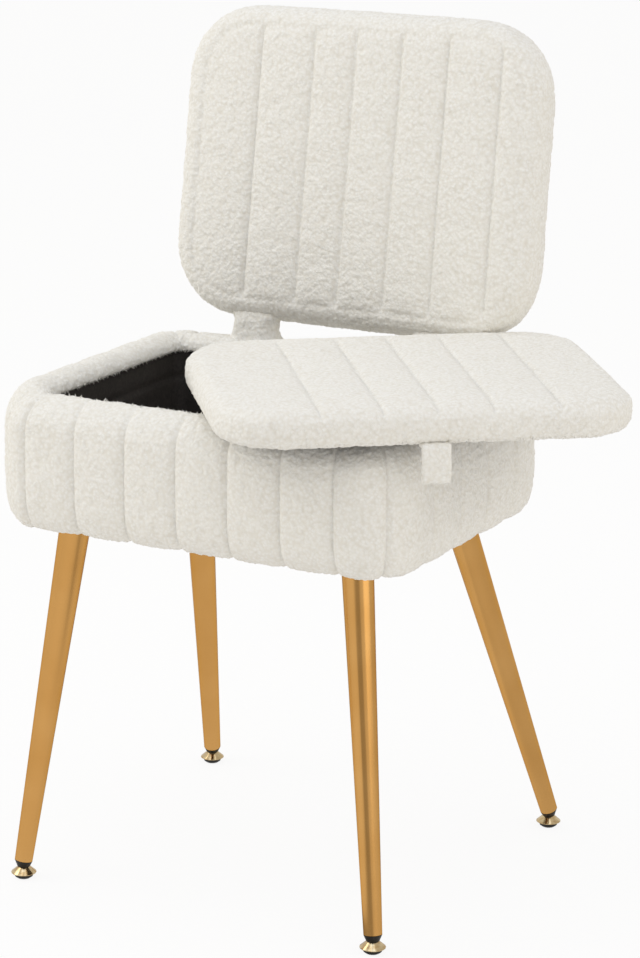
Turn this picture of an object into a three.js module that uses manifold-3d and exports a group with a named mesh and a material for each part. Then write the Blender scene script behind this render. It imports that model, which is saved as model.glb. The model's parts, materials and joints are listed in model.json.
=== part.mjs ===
// Vanity stool with a storage seat: a cloth-covered box on four splayed steel legs, a channelled
// backrest on two upholstered posts, and a loose padded lid that lies askew on the box rim.
// Millimetres, +X to the right as seen from the front, +Y to the back, +Z up, floor at Z = 0.

import * as THREE from 'three';
import { mergeVertices } from 'three/addons/utils/BufferGeometryUtils.js';
import Module from 'manifold-3d';

const wasm = await Module();
wasm.setup();

// Clearances and steps shared by the whole stool
const seatGap = 0.3;            // between rigid pieces that rest on or pass through each other
const padGap = 0.6;             // between a pad and the cloth around it
const fillGap = 1.4;            // between a filling's outline and the faceted walls of its cover
const cutOverrun = 2;           // how far a cutter runs past the face that it opens
const arcSteps = 6;             // segments in a quarter turn of an outline
const bendSteps = 4;            // segments in a strip's bend
const roundSteps = 18;          // sides of a leg tube
const fastenerSides = 8;        // sides of a bolt

// Storage box, outside of the cloth
const boxWidth = 380;
const boxDepth = 289;
const boxCornerRadius = 44;
const boxUnderside = 316;       // height of the lowest cloth above the floor
const wallHeight = 115;         // from the lowest cloth to the rim's crest
const rimWidth = 35;            // wall at the rim, cloth to cloth
const clothThickness = 7;       // pile fabric with its wadding
const flangeWidth = 24;         // cloth turned under the box
const seamDepth = 3.5;          // how far a sewn channel seam sinks in
const innerDrop = 16;           // cloth turned down inside the rim
const seamPitch = 48.3;         // channel width, sewn into every cover alike
const frontSeamShift = -8;      // the front row of seams sits a little left of centre
const frontSeamCount = 7;
const leastEndChannel = 10;     // narrowest channel beside a cushion's border
const sideSeamPitch = 50;
const sideSeamCount = 4;
const frontChannelSteps = 4;
const rearChannelSteps = 2;
const endChannelSteps = 4;      // steps round a cushion's corner
const edgeSeamShare = 0.5;      // of a seam's depth, where it runs out at a cushion's edge
const tuckShare = 0.43;         // of the rim's width, in to where the cloth's inside meets the flange
const tuckRiseShare = 0.19;     // of the wall's height, up to where the cloth's inside is upright
const rollClothShare = 1.9;     // of the cloth's thickness, from the crest down to the roll's inner edge

// The box cover's outer face from the flange over the rim: insets as shares of the rim's width,
// heights as shares of the wall's, and the share of a seam's depth that shows there
const wallSectionShares = [
  { inset: 0.26, height: 0.022, seam: 0.5 },
  { inset: 0.03, height: 0.16, seam: 1 },
  { inset: 0, height: 0.5, seam: 1 },
  { inset: 0.05, height: 0.85, seam: 1 },
  { inset: 0.42, height: 1, seam: 0.35 },
  { inset: 0.88, height: 0.955, seam: 0 },
];

// Box carcass
const panelThickness = 9;
const panelInset = 21.6;        // from the outside of the cloth to the panels' outer face
const panelTopDrop = 13;        // from the rim's crest to the panels' top edge
const boardThickness = 12;
const boardInset = 6;           // base board's underside above the lowest cloth
const liningThickness = 1.2;
const dustClothThickness = 0.8;
const dustClothInset = 24.6;

// Legs, measured on the tube's axis; the top is under the dust cloth and the end is above the foot
const legEndHeight = 16;
const legTopRadius = 13.4;
const legEndRadius = 7.8;
const legWall = 1.5;
const weldFlare = 2.4;
const weldHeight = 3;
const frontTopInset = 56.7;     // tops from the box's sides, and from its front
const frontTopSetback = 47.2;
const frontSplayShare = 0.118;  // sideways run of the axis for each unit of rise
const frontRakeShare = 0.118;
const rearTopInset = 63.4;      // tops from the box's sides, and from its back
const rearTopSetback = 50.2;
const rearSplayShare = 0.157;
const rearRakeShare = 0.353;
const plateSize = 56;
const plateThickness = 3;
const plateCornerRadius = 8;
const plateOffset = 8;          // plate's centre, inward of the tube's axis each way
const plateBoltInset = 8;       // bolts from the plate's edges

// Levelling feet
const plugSpigot = 14;
const plugNeckRadius = 5.5;
const glideTop = 10.2;
const glideRadius = 10.9;
const glideEdgeHeight = 5.3;
const glideBottom = 3.7;
const glideBaseRadius = 8.2;
const glideNeckRadius = 5.2;
const glideRim = 0.5;
const studRadius = 3;
const studLength = 8;
const padTopRadius = 7.8;
const padFootRadius = 5.6;
const padShoulder = 1.6;

// Bolts
const boltRadius = 3;
const boltHeadRadius = 5.4;
const boltHeadHeight = 3.4;
const boltPointGap = 2;         // wood left beyond a bolt's point
const boltDomeShare = 0.75;     // of the head's radius, at its flat crown
const boltShoulderShare = 0.5;  // of the head's height, where the dome starts

// Backrest, in its own leaning frame: x across, y into its thickness, z up along the cushion
const backrestWidth = 341;
const backrestHeight = 276;
const backrestThickness = 46;
const backrestCornerRadius = 63;
const backrestLean = 9.3;       // degrees
const backrestSetIn = 26.5;     // front face at its lower edge, ahead of the box's back
const backrestLift = 21.8;      // lower edge above the rim
const backrestBorder = 15;      // plain band round the channelled panel
const backrestEdgeRadius = 15;
const backrestCrown = 4;
// Seams as shares of the half width, not quite even, as on a hand-sewn panel
const backrestSeamShares = [-0.576, -0.273, -0.035, 0.227, 0.488, 0.79];
const backrestFoamThickness = 11.4;
const backrestBoardThickness = 9;
const shellThickness = 6;
const backrestMouth = 2;        // the rear pad stands this far out of the cover's mouth
const rearPadRound = 4;         // how far the rear pad's edge rounds off
const rearPadSlope = 20;        // from the rear pad's outline to its flat middle
const edgeRollShare = 0.3;      // of the edge radius, in and down, at the roll's shoulder
const innerRollShare = 0.8;     // of the edge radius, at the inside of the roll
const backrestRowShares = [-1, -0.72, -0.25, 0.25, 0.72, 1];  // of the half height, bottom to top

// Posts: bent flat bars in padded sleeves
const postSpacing = 178;        // between the posts' centre lines
const barWidth = 20;
const barThickness = 4;
const barFootDrop = 86;         // bar's lower end below the rim
const barBendDrop = 7;          // below the rim, where the bar starts to lean
const barRise = 110;            // how far the bar runs up into the backrest
const barEntry = 10;            // height in the backrest where the bar follows its lean
const sleeveWidth = 32;
const sleeveDepth = 22;
const sleeveSetback = 0.5;      // sleeve's front behind the backrest's front
const sleeveTuck = 14;          // how far the sleeve reaches up round the cushion's lower edge
const sleeveFlare = 3;
const sleeveFlareHeight = 6;
const sleeveCornerRadius = 8;
const postBoltDrops = [66, 33]; // below the rim
const backrestBoltHeight = 78;

// Lid
const lidSideGap = 22.5;        // from the box's sides to the closed lid's
const lidBackGap = 32;          // from the box's back to the closed lid's rear edge
const lidCornerRadius = 44;
const lidThickness = 29.5;
const lidCrown = 3;
const lidBorder = 14;
const lidEdgeRadius = 12;
const lidBoardThickness = 9;
const lidBoardInset = 7.4;
const lidFlange = 22;
const lidFlangeThickness = 2.4;
const lidLiningThickness = 1;
const lidLiningInset = 8;
const lidRowShares = [-1, -0.7, 0, 0.7, 1];     // of the half depth, front to back
const lidShoulderShares = [0.3, 0.45];          // of the edge radius, in and down
const lidWidestShare = 1.1;                     // of the edge radius, down to the widest line
const lidLowerShares = [0.1, 0.5];              // of the edge radius, in and up from the flange
const lidTuckShare = 0.5;                       // of the edge radius, in at the flange
const lidYaw = 38;              // degrees, how far the loose lid is turned from square
const lidPoleOffset = 84.3;     // upright line about which the lid goes from square to askew,
const lidPoleReach = 34.7;      // to the right of the middle and out behind the box
const tabWidth = 23;
const tabThickness = 3.6;
const tabLength = 30;           // below the lid
const tabBend = 3;              // radius of the strip's middle where it turns down

// Finishes
const pileWhite = { color: 0xeae6de, roughness: 0.95, metalness: 0 };
const liningBlack = { color: 0x1e1c1b, roughness: 0.9, metalness: 0 };
const plywood = { color: 0xc9a77a, roughness: 0.7, metalness: 0 };
const foamCream = { color: 0xe9dfb8, roughness: 0.95, metalness: 0 };
const satinGold = { color: 0xc3924f, roughness: 0.38, metalness: 0.9 };
const brightBrass = { color: 0xe2c07a, roughness: 0.15, metalness: 1 };
const nylonBlack = { color: 0x1a1715, roughness: 0.55, metalness: 0 };
const zincSteel = { color: 0x9da0a2, roughness: 0.4, metalness: 0.9 };

// Sizes that follow
const rimHeight = boxUnderside + wallHeight;
const backrestFront = boxDepth / 2 - backrestSetIn;
const backrestBase = rimHeight + backrestLift;
const postBoltHeights = postBoltDrops.map((drop) => rimHeight - drop);
const lidWidth = boxWidth - 2 * lidSideGap;
const lidDepth = boxDepth - lidBackGap;

const stool = new THREE.Group();
const degrees = Math.PI / 180;
const quarterTurn = Math.PI / 2;

function addMesh(parent, name, geometry, finish) {
  const mesh = new THREE.Mesh(geometry, new THREE.MeshStandardMaterial(finish));
  mesh.name = name;
  parent.add(mesh);
  return mesh;
}

// Solids from vertex rings

function signedVolume(points, faces) {
  let total = 0;
  for (const [a, b, c] of faces) total += points[a].dot(points[b].clone().cross(points[c]));
  return total / 6;
}

function solidFromFaces(points, faces) {
  const outward = signedVolume(points, faces) > 0;
  const geometry = new THREE.BufferGeometry().setFromPoints(points);
  geometry.setIndex(faces.flatMap(([a, b, c]) => (outward ? [a, b, c] : [a, c, b])));
  geometry.computeVertexNormals();
  return geometry;
}

// Rings of equal length joined in order; the first and last are closed by flat fans,
// or joined to each other where the solid is a ring itself.
function loftRings(rings, joined = false) {
  const count = rings[0].length;
  const points = rings.flat();
  const faces = [];
  const last = joined ? rings.length : rings.length - 1;
  for (let r = 0; r < last; r += 1) {
    const next = (r + 1) % rings.length;
    for (let i = 0; i < count; i += 1) {
      const j = (i + 1) % count;
      const [a, b, c, d] = [r * count + i, r * count + j, next * count + j, next * count + i];
      faces.push([a, b, c], [a, c, d]);
    }
  }
  if (!joined) {
    const top = (rings.length - 1) * count;
    for (let i = 1; i < count - 1; i += 1) {
      faces.push([0, i + 1, i], [top, top + i, top + i + 1]);
    }
  }
  return solidFromFaces(points, faces);
}

// Booleans

function toManifold(geometry) {
  const bare = geometry.clone();
  bare.deleteAttribute('normal');
  bare.deleteAttribute('uv');
  const merged = mergeVertices(bare);
  return new wasm.Manifold(new wasm.Mesh({
    numProp: 3,
    vertProperties: new Float32Array(merged.attributes.position.array),
    triVerts: new Uint32Array(merged.index.array),
  }));
}

function toGeometry(manifold) {
  const { numProp, vertProperties, triVerts } = manifold.getMesh();
  const positions = [];
  for (let i = 0; i < vertProperties.length; i += numProp) {
    positions.push(vertProperties[i], vertProperties[i + 1], vertProperties[i + 2]);
  }
  const geometry = new THREE.BufferGeometry();
  geometry.setAttribute('position', new THREE.Float32BufferAttribute(positions, 3));
  geometry.setIndex(Array.from(triVerts));
  geometry.computeVertexNormals();
  return geometry;
}

function subtract(geometry, cutters) {
  let solid = toManifold(geometry);
  for (const cutter of cutters) solid = solid.subtract(toManifold(cutter));
  return toGeometry(solid);
}

function join(first, second) {
  return toGeometry(toManifold(first).add(toManifold(second)));
}

// Outlines

// Corner-by-corner outline of a rounded rectangle, with the outward normal at each point
function roundedOutline(halfX, halfY, radius) {
  const corners = [[1, -1], [1, 1], [-1, 1], [-1, -1]];
  return corners.flatMap(([sx, sy], quarter) => {
    const centre = new THREE.Vector2(sx * (halfX - radius), sy * (halfY - radius));
    return Array.from({ length: arcSteps + 1 }, (_, step) => {
      const angle = (quarter - 1 + step / arcSteps) * quarterTurn;
      const normal = new THREE.Vector2(Math.cos(angle), Math.sin(angle));
      return { point: centre.clone().addScaledVector(normal, radius), normal };
    });
  });
}

function outlineRing(outline, inset, height) {
  return outline.map(({ point, normal }) => new THREE.Vector3(
    point.x - normal.x * inset, point.y - normal.y * inset, height));
}

function roundedPlate(halfX, halfY, radius, bottom, thickness, holes = []) {
  const outline = roundedOutline(halfX, halfY, radius);
  const shape = new THREE.Shape(outline.map(({ point }) => point));
  for (const hole of holes) {
    const path = new THREE.Path();
    path.absarc(hole.x, hole.y, hole.radius, 0, 2 * Math.PI, true);
    shape.holes.push(path);
  }
  const geometry = new THREE.ExtrudeGeometry(shape, {
    depth: thickness, bevelEnabled: false, curveSegments: fastenerSides });
  return geometry.translate(0, 0, bottom);
}

function slab(lowX, highX, lowY, highY, lowZ, highZ) {
  const box = new THREE.BoxGeometry(highX - lowX, highY - lowY, highZ - lowZ);
  return box.translate((lowX + highX) / 2, (lowY + highY) / 2, (lowZ + highZ) / 2);
}

// Positions along the box's wall: straight runs and quarter rounds, counted from the front's middle

function wallFrame(distance) {
  const straightX = boxWidth / 2 - boxCornerRadius;
  const straightY = boxDepth / 2 - boxCornerRadius;
  const arc = boxCornerRadius * quarterTurn;
  const runs = [
    { length: straightX, at: [0, -boxDepth / 2], turn: 0 },
    { arcAt: [straightX, -straightY], turn: 0 },
    { length: 2 * straightY, at: [boxWidth / 2, -straightY], turn: 1 },
    { arcAt: [straightX, straightY], turn: 1 },
    { length: 2 * straightX, at: [straightX, boxDepth / 2], turn: 2 },
    { arcAt: [-straightX, straightY], turn: 2 },
    { length: 2 * straightY, at: [-boxWidth / 2, straightY], turn: 3 },
    { arcAt: [-straightX, -straightY], turn: 3 },
    { length: straightX, at: [-straightX, -boxDepth / 2], turn: 0 },
  ];
  let rest = distance;
  for (const run of runs) {
    const length = run.arcAt ? arc : run.length;
    if (rest <= length || run === runs.at(-1)) {
      const turned = run.turn + (run.arcAt ? rest / arc : 0);
      const normal = new THREE.Vector2(0, -1).rotateAround(new THREE.Vector2(), turned * quarterTurn);
      if (run.arcAt) {
        const point = new THREE.Vector2(...run.arcAt).addScaledVector(normal, boxCornerRadius);
        return { point, normal };
      }
      const along = new THREE.Vector2(1, 0).rotateAround(new THREE.Vector2(), run.turn * quarterTurn);
      return { point: new THREE.Vector2(...run.at).addScaledVector(along, rest), normal };
    }
    rest -= length;
  }
  return null;
}

function wallSeams() {
  const straightX = boxWidth / 2 - boxCornerRadius;
  const straightY = boxDepth / 2 - boxCornerRadius;
  const arc = boxCornerRadius * quarterTurn;
  const total = 4 * (straightX + straightY + arc);
  const row = (middle, pitch, count) => Array.from(
    { length: count }, (_, i) => middle + (i - (count - 1) / 2) * pitch);
  const sideMiddle = straightX + arc + straightY;
  const backMiddle = total / 2;
  const seams = [
    ...row(frontSeamShift, seamPitch, frontSeamCount),
    straightX + arc / 2,
    ...row(sideMiddle, sideSeamPitch, sideSeamCount),
    backMiddle - straightX - arc / 2,
    ...row(backMiddle, seamPitch, frontSeamCount),
    backMiddle + straightX + arc / 2,
    ...row(total - sideMiddle, sideSeamPitch, sideSeamCount),
    total - straightX - arc / 2,
  ];
  return { seams: seams.map((s) => (s + total) % total).sort((a, b) => a - b), total };
}

// How full a channel is at a share of the way from one seam to the next
function fullnessAt(share) {
  return Math.sqrt(Math.max(0, Math.sin(Math.PI * share)));
}

// Points round the wall, a few to each channel, with the channel's fullness there
function channelSamples() {
  const { seams, total } = wallSeams();
  const straightX = boxWidth / 2 - boxCornerRadius;
  return seams.flatMap((start, i) => {
    const end = i + 1 < seams.length ? seams[i + 1] : seams[0] + total;
    const atRear = Math.abs(start - total / 2) < straightX && Math.abs(end - total / 2) < straightX;
    const steps = atRear ? rearChannelSteps : frontChannelSteps;
    return Array.from({ length: steps }, (_, step) => {
      const frame = wallFrame((start + (end - start) * step / steps) % total);
      return { ...frame, fullness: fullnessAt(step / steps) };
    });
  });
}

// Box cover: the channelled outer face, the rolled rim, the turned-down edge inside and the
// flange under the box, as one section that runs round the wall. inset is from the outside
// of the cloth and height from the lowest cloth; seam is the share of the seam's depth there.
const liningInset = panelInset + panelThickness + seatGap;
const rollHeight = wallHeight - clothThickness * rollClothShare;
const tuckInset = rimWidth * tuckShare;
const tuckHeight = wallHeight * tuckRiseShare;
const wallSection = [
  { inset: flangeWidth, height: 0, seam: 0 },
  ...wallSectionShares.map(({ inset, height, seam }) => (
    { inset: rimWidth * inset, height: wallHeight * height, seam })),
  { inset: rimWidth, height: wallHeight - innerDrop, seam: 0 },
  { inset: liningInset, height: wallHeight - innerDrop, seam: 0 },
  { inset: liningInset, height: wallHeight - clothThickness - padGap, seam: 0 },
  { inset: clothThickness, height: rollHeight, seam: 0 },
  { inset: clothThickness, height: tuckHeight, seam: 0 },
  { inset: tuckInset, height: boardInset - seatGap, seam: 0 },
  { inset: flangeWidth, height: boardInset - seatGap, seam: 0 },
];

function boxCoverSolid() {
  const samples = channelSamples();
  const rings = wallSection.map(({ inset, height, seam }) => (
    samples.map(({ point, normal, fullness }) => {
      const sunk = inset + seamDepth * seam * (1 - fullness);
      return new THREE.Vector3(
        point.x - normal.x * sunk, point.y - normal.y * sunk, boxUnderside + height);
    })));
  return loftRings(rings, true);
}

function boxFoamSolid() {
  const outline = roundedOutline(boxWidth / 2, boxDepth / 2, boxCornerRadius);
  const outer = clothThickness + fillGap;
  const inner = panelInset - seatGap;
  const overPanel = rimHeight - panelTopDrop + seatGap;
  const section = [
    [tuckInset + fillGap, boxUnderside + boardInset + seatGap],
    [outer, boxUnderside + tuckHeight + fillGap],
    [outer, boxUnderside + rollHeight - fillGap],
    [panelInset + panelThickness - 2 * padGap, rimHeight - clothThickness - 2 * padGap],
    [panelInset + panelThickness - 2 * padGap, overPanel],
    [inner, overPanel],
    [inner, boxUnderside + boardInset + seatGap],
  ];
  return loftRings(section.map(([inset, height]) => outlineRing(outline, inset, height)), true);
}

// A padded cover with sewn channels: a bowl whose floor is the channelled face, at depth 0,
// and whose walls follow a rounded rectangle. Insets and depths of the rim rows come as pairs.
function channelledBowl({ halfX, halfY, radius, border, crown, seams, outerRows, innerRows, rowShares }) {
  const innerHalfX = halfX - border;
  const innerHalfY = halfY - border;
  const innerRadius = radius - border;
  const bend = innerHalfX - innerRadius;
  const endColumns = (lastSeam) => {
    const firstAngle = Math.asin(Math.max(0, lastSeam - bend) / innerRadius);
    const bendXs = Array.from({ length: endChannelSteps + 1 }, (_, step) => (
      bend + innerRadius * Math.sin(firstAngle + (quarterTurn - firstAngle) * step / endChannelSteps)));
    const endXs = lastSeam < bend ? [lastSeam, (lastSeam + bend) / 2, ...bendXs] : bendXs;
    return endXs.map((x) => ({ x, fullness: fullnessAt((x - lastSeam) / (innerHalfX - lastSeam)) }));
  };
  const columns = [
    ...endColumns(-seams[0]).map(({ x, fullness }) => ({ x: -x, fullness })).reverse(),
    ...seams.slice(0, -1).flatMap((seam, i) => Array.from({ length: frontChannelSteps }, (_, step) => ({
      x: seam + (seams[i + 1] - seam) * step / frontChannelSteps,
      fullness: fullnessAt(step / frontChannelSteps),
    })).slice(i === 0 ? 1 : 0)),
    ...endColumns(seams.at(-1)),
  ];
  const reach = (x) => {
    const over = Math.max(0, Math.abs(x) - (innerHalfX - innerRadius));
    return innerHalfY - innerRadius + Math.sqrt(Math.max(0, innerRadius ** 2 - over ** 2));
  };
  const face = columns.map(({ x, fullness }) => rowShares.map((share) => {
    const y = reach(x) * share;
    const swell = (1 - (x / halfX) ** 2) * (1 - share ** 2);
    const depth = seamDepth * (1 - fullness) * (Math.abs(share) === 1 ? edgeSeamShare : 1);
    return new THREE.Vector3(x, y, crown * (1 - swell) + depth);
  }));
  const faceEdge = [
    ...face.map((column) => column[0]),
    ...face.at(-1).slice(1),
    ...face.slice(0, -1).reverse().map((column) => column.at(-1)),
    ...face[0].slice(1, -1).reverse(),
  ];
  const normalAt = (p) => {
    const dx = Math.max(0, Math.abs(p.x) - (innerHalfX - innerRadius)) * Math.sign(p.x);
    const dy = Math.max(0, Math.abs(p.y) - (innerHalfY - innerRadius)) * Math.sign(p.y);
    return new THREE.Vector2(dx, dy).normalize();
  };
  const ringAt = ([inset, depth]) => faceEdge.map((p) => {
    const normal = normalAt(p);
    return new THREE.Vector3(
      p.x + normal.x * (border - inset), p.y + normal.y * (border - inset), depth);
  });
  const rings = [faceEdge, ...outerRows.map(ringAt), ...innerRows.map(ringAt)];
  const points = [];
  const faces = [];
  const place = new Map();
  const indexOf = (p) => {
    if (!place.has(p)) place.set(p, points.push(p) - 1);
    return place.get(p);
  };
  const rows = rowShares.length;
  for (let c = 0; c + 1 < face.length; c += 1) {
    for (let r = 0; r + 1 < rows; r += 1) {
      const [a, b, d, e] = [face[c][r], face[c + 1][r], face[c + 1][r + 1], face[c][r + 1]].map(indexOf);
      faces.push([a, d, b], [a, e, d]);
    }
  }
  for (let k = 0; k + 1 < rings.length; k += 1) {
    for (let i = 0; i < faceEdge.length; i += 1) {
      const j = (i + 1) % faceEdge.length;
      const [a, b, c, d] = [rings[k][i], rings[k][j], rings[k + 1][j], rings[k + 1][i]].map(indexOf);
      faces.push([a, b, c], [a, c, d]);
    }
  }
  const floor = rings.at(-1).map(indexOf);
  for (let i = 1; i < floor.length - 1; i += 1) faces.push([floor[0], floor[i], floor[i + 1]]);
  return solidFromFaces(points, faces);
}

// Seams on both sides of a cushion's middle, as many as leave room for an end channel
function seamRow(halfWidth) {
  const eachSide = Math.floor((halfWidth - leastEndChannel) / seamPitch);
  return Array.from({ length: 2 * eachSide + 1 }, (_, i) => (i - eachSide) * seamPitch);
}

// Bolts: a domed head and a shank along +Z, head below its seat at Z = 0
function boltSolid(length) {
  const profile = [
    [0, -boltHeadHeight],
    [boltHeadRadius * boltDomeShare, -boltHeadHeight],
    [boltHeadRadius, -boltHeadHeight * boltShoulderShare],
    [boltHeadRadius, 0],
    [boltRadius, 0],
    [boltRadius, length],
    [0, length],
  ];
  return new THREE.LatheGeometry(profile.map(([r, z]) => new THREE.Vector2(r, z)), fastenerSides)
    .rotateX(quarterTurn);
}

function roundCutter(radius, length) {
  return new THREE.CylinderGeometry(radius, radius, length, roundSteps).rotateX(quarterTurn);
}

// Storage box: carcass, padding, cover and linings

const boardUnderside = boxUnderside + boardInset;
const boardTop = boardUnderside + boardThickness;
const panelTop = rimHeight - panelTopDrop;
const carcassX = boxWidth / 2 - panelInset;
const carcassY = boxDepth / 2 - panelInset;
const carcassRadius = boxCornerRadius - panelInset;
const blockInnerRadius = carcassRadius - panelThickness;

function legPlaces() {
  return [
    { key: 'front_left', sx: -1, sy: -1, quarter: 2 },
    { key: 'front_right', sx: 1, sy: -1, quarter: 3 },
    { key: 'rear_left', sx: -1, sy: 1, quarter: 1 },
    { key: 'rear_right', sx: 1, sy: 1, quarter: 0 },
  ].map(({ key, sx, sy, quarter }) => {
    const front = sy < 0;
    const inward = front ? [frontTopInset, frontTopSetback] : [rearTopInset, rearTopSetback];
    const lean = front ? [frontSplayShare, frontRakeShare] : [rearSplayShare, rearRakeShare];
    const axis = new THREE.Vector3(-sx * lean[0], -sy * lean[1], 1).normalize();
    const top = new THREE.Vector3(
      sx * (boxWidth / 2 - inward[0]), sy * (boxDepth / 2 - inward[1]),
      boardUnderside - dustClothThickness - plateThickness);
    const end = top.clone().addScaledVector(axis, (legEndHeight - top.z) / axis.z);
    const plate = new THREE.Vector2(top.x - sx * plateOffset, top.y - sy * plateOffset);
    const boltReach = plateSize / 2 - plateBoltInset;
    const bolts = [[-1, 1], [-1, -1], [1, -1]].map(([outX, outY]) => new THREE.Vector2(
      plate.x + sx * outX * boltReach, plate.y + sy * outY * boltReach));
    return { key, sx, sy, quarter, end, axis, top, plate, bolts };
  });
}

const legs = legPlaces();
const legBoltHoles = legs.flatMap(({ bolts }) => bolts.map(
  ({ x, y }) => ({ x, y, radius: boltRadius + seatGap })));

function buildBox() {
  addMesh(stool, 'base_board',
    roundedPlate(carcassX, carcassY, carcassRadius, boardUnderside, boardThickness, legBoltHoles),
    plywood);
  addMesh(stool, 'dust_cover', roundedPlate(
    boxWidth / 2 - dustClothInset, boxDepth / 2 - dustClothInset, boxCornerRadius - dustClothInset,
    boardUnderside - dustClothThickness, dustClothThickness, legBoltHoles), liningBlack);
  const spanX = carcassX - carcassRadius;
  const spanY = carcassY - carcassRadius;
  const barHoles = postBoltHeights.flatMap((height) => [-1, 1].map((side) => roundCutter(
    boltRadius + seatGap, panelThickness + 2 * cutOverrun)
    .rotateX(quarterTurn).translate(side * postSpacing / 2, carcassY - panelThickness / 2, height)));
  addMesh(stool, 'box_front_panel',
    slab(-spanX, spanX, -carcassY, -carcassY + panelThickness, boardTop, panelTop), plywood);
  addMesh(stool, 'box_back_panel',
    subtract(slab(-spanX, spanX, carcassY - panelThickness, carcassY, boardTop, panelTop), barHoles),
    plywood);
  addMesh(stool, 'box_left_panel',
    slab(-carcassX, -carcassX + panelThickness, -spanY, spanY, boardTop, panelTop), plywood);
  addMesh(stool, 'box_right_panel',
    slab(carcassX - panelThickness, carcassX, -spanY, spanY, boardTop, panelTop), plywood);
  legs.forEach(({ key, sx, sy, quarter }) => {
    const shape = new THREE.Shape();
    shape.absarc(0, 0, carcassRadius, 0, quarterTurn, false);
    shape.absarc(0, 0, blockInnerRadius, quarterTurn, 0, true);
    const block = new THREE.ExtrudeGeometry(shape, {
      depth: panelTop - boardTop, bevelEnabled: false, curveSegments: arcSteps });
    block.rotateZ(quarter * quarterTurn);
    addMesh(stool, `box_corner_${key}`, block.translate(sx * spanX, sy * spanY, boardTop), plywood);
  });
  const liningOutline = roundedOutline(boxWidth / 2, boxDepth / 2, boxCornerRadius);
  const liningTop = rimHeight - innerDrop - seatGap;
  addMesh(stool, 'box_lining', loftRings([
    outlineRing(liningOutline, liningInset, boardTop + seatGap),
    outlineRing(liningOutline, liningInset, liningTop),
    outlineRing(liningOutline, liningInset + liningThickness, liningTop),
    outlineRing(liningOutline, liningInset + liningThickness, boardTop + seatGap + liningThickness),
  ]), liningBlack);
}

// Legs with welded plates, plugs and levelling feet

// A circle round an axis, either square to it or cut level with the floor
function axisRing(centre, axis, radius, level = false) {
  const side = new THREE.Vector3(0, 1, 0).cross(axis).normalize();
  const up = axis.clone().cross(side);
  return Array.from({ length: roundSteps }, (_, i) => {
    const angle = i * 2 * Math.PI / roundSteps;
    const spoke = side.clone().multiplyScalar(radius * Math.cos(angle))
      .addScaledVector(up, radius * Math.sin(angle));
    if (level) spoke.addScaledVector(axis, -spoke.z / axis.z);
    return centre.clone().add(spoke);
  });
}

function levelRing(x, y, radius, height) {
  return axisRing(new THREE.Vector3(x, y, height), new THREE.Vector3(0, 0, 1), radius);
}

function legSolid({ end, axis, top, plate, bolts }) {
  const at = (height) => top.clone().addScaledVector(axis, (height - top.z) / axis.z);
  const tube = loftRings([
    axisRing(at(top.z + plateThickness / 2), axis, legTopRadius + weldFlare, true),
    axisRing(top, axis, legTopRadius + weldFlare, true),
    axisRing(at(top.z - weldHeight), axis, legTopRadius, true),
    axisRing(end, axis, legEndRadius),
    axisRing(end, axis, legEndRadius - legWall),
    axisRing(at(top.z - weldHeight), axis, legTopRadius - legWall, true),
  ]);
  const holes = bolts.map(({ x, y }) => (
    { x: x - plate.x, y: y - plate.y, radius: boltRadius + seatGap }));
  const flat = roundedPlate(plateSize / 2, plateSize / 2, plateCornerRadius, top.z, plateThickness, holes)
    .translate(plate.x, plate.y, 0);
  return join(tube, flat);
}

function plugSolid({ end, axis }) {
  const spigotRadius = legEndRadius - legWall - seatGap;
  const body = loftRings([
    axisRing(end.clone().addScaledVector(axis, plugSpigot), axis, spigotRadius),
    axisRing(end.clone().addScaledVector(axis, -seatGap), axis, spigotRadius),
    axisRing(end.clone().addScaledVector(axis, -seatGap), axis, legEndRadius),
    levelRing(end.x, end.y, plugNeckRadius, glideTop + seatGap),
  ]);
  const bore = roundCutter(studRadius + seatGap, 2 * (studLength + seatGap))
    .translate(end.x, end.y, glideTop);
  return subtract(body, [bore]);
}

function turned(profile) {
  return new THREE.LatheGeometry(profile.map(([r, z]) => new THREE.Vector2(r, z)), roundSteps)
    .rotateX(quarterTurn);
}

function buildLegs() {
  for (const leg of legs) {
    addMesh(stool, `leg_${leg.key}`, legSolid(leg), satinGold);
    addMesh(stool, `leg_plug_${leg.key}`, plugSolid(leg), nylonBlack);
    const glide = turned([
      [0, glideBottom],
      [glideBaseRadius, glideBottom],
      [glideRadius, glideEdgeHeight - glideRim],
      [glideRadius, glideEdgeHeight],
      [glideNeckRadius, glideTop],
      [studRadius, glideTop],
      [studRadius, glideTop + studLength],
      [0, glideTop + studLength],
    ]);
    const pad = turned([
      [0, 0],
      [padFootRadius, 0],
      [padTopRadius, padShoulder],
      [padTopRadius, glideBottom],
      [0, glideBottom],
    ]);
    addMesh(stool, `glide_${leg.key}`, glide.translate(leg.end.x, leg.end.y, 0), brightBrass);
    addMesh(stool, `glide_pad_${leg.key}`, pad.translate(leg.end.x, leg.end.y, 0), nylonBlack);
    leg.bolts.forEach(({ x, y }, i) => {
      const bolt = boltSolid(plateThickness + dustClothThickness + boardThickness - boltPointGap);
      addMesh(stool, `leg_bolt_${leg.key}_${i + 1}`, bolt.translate(x, y, leg.top.z), zincSteel);
    });
  }
}

// Backrest frame: local x across, y from the front face to the rear, z up from the lower edge

const backrest = new THREE.Group();
backrest.position.set(0, backrestFront, backrestBase);
backrest.rotation.x = -backrestLean * degrees;
stool.add(backrest);

const backrestHalfX = backrestWidth / 2;
const backrestHalfZ = backrestHeight / 2;
const boardFace = shellThickness + padGap + backrestFoamThickness + seatGap;
const boardRear = boardFace + backrestBoardThickness;
const barCentre = boardFace - seatGap - barThickness / 2;

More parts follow.
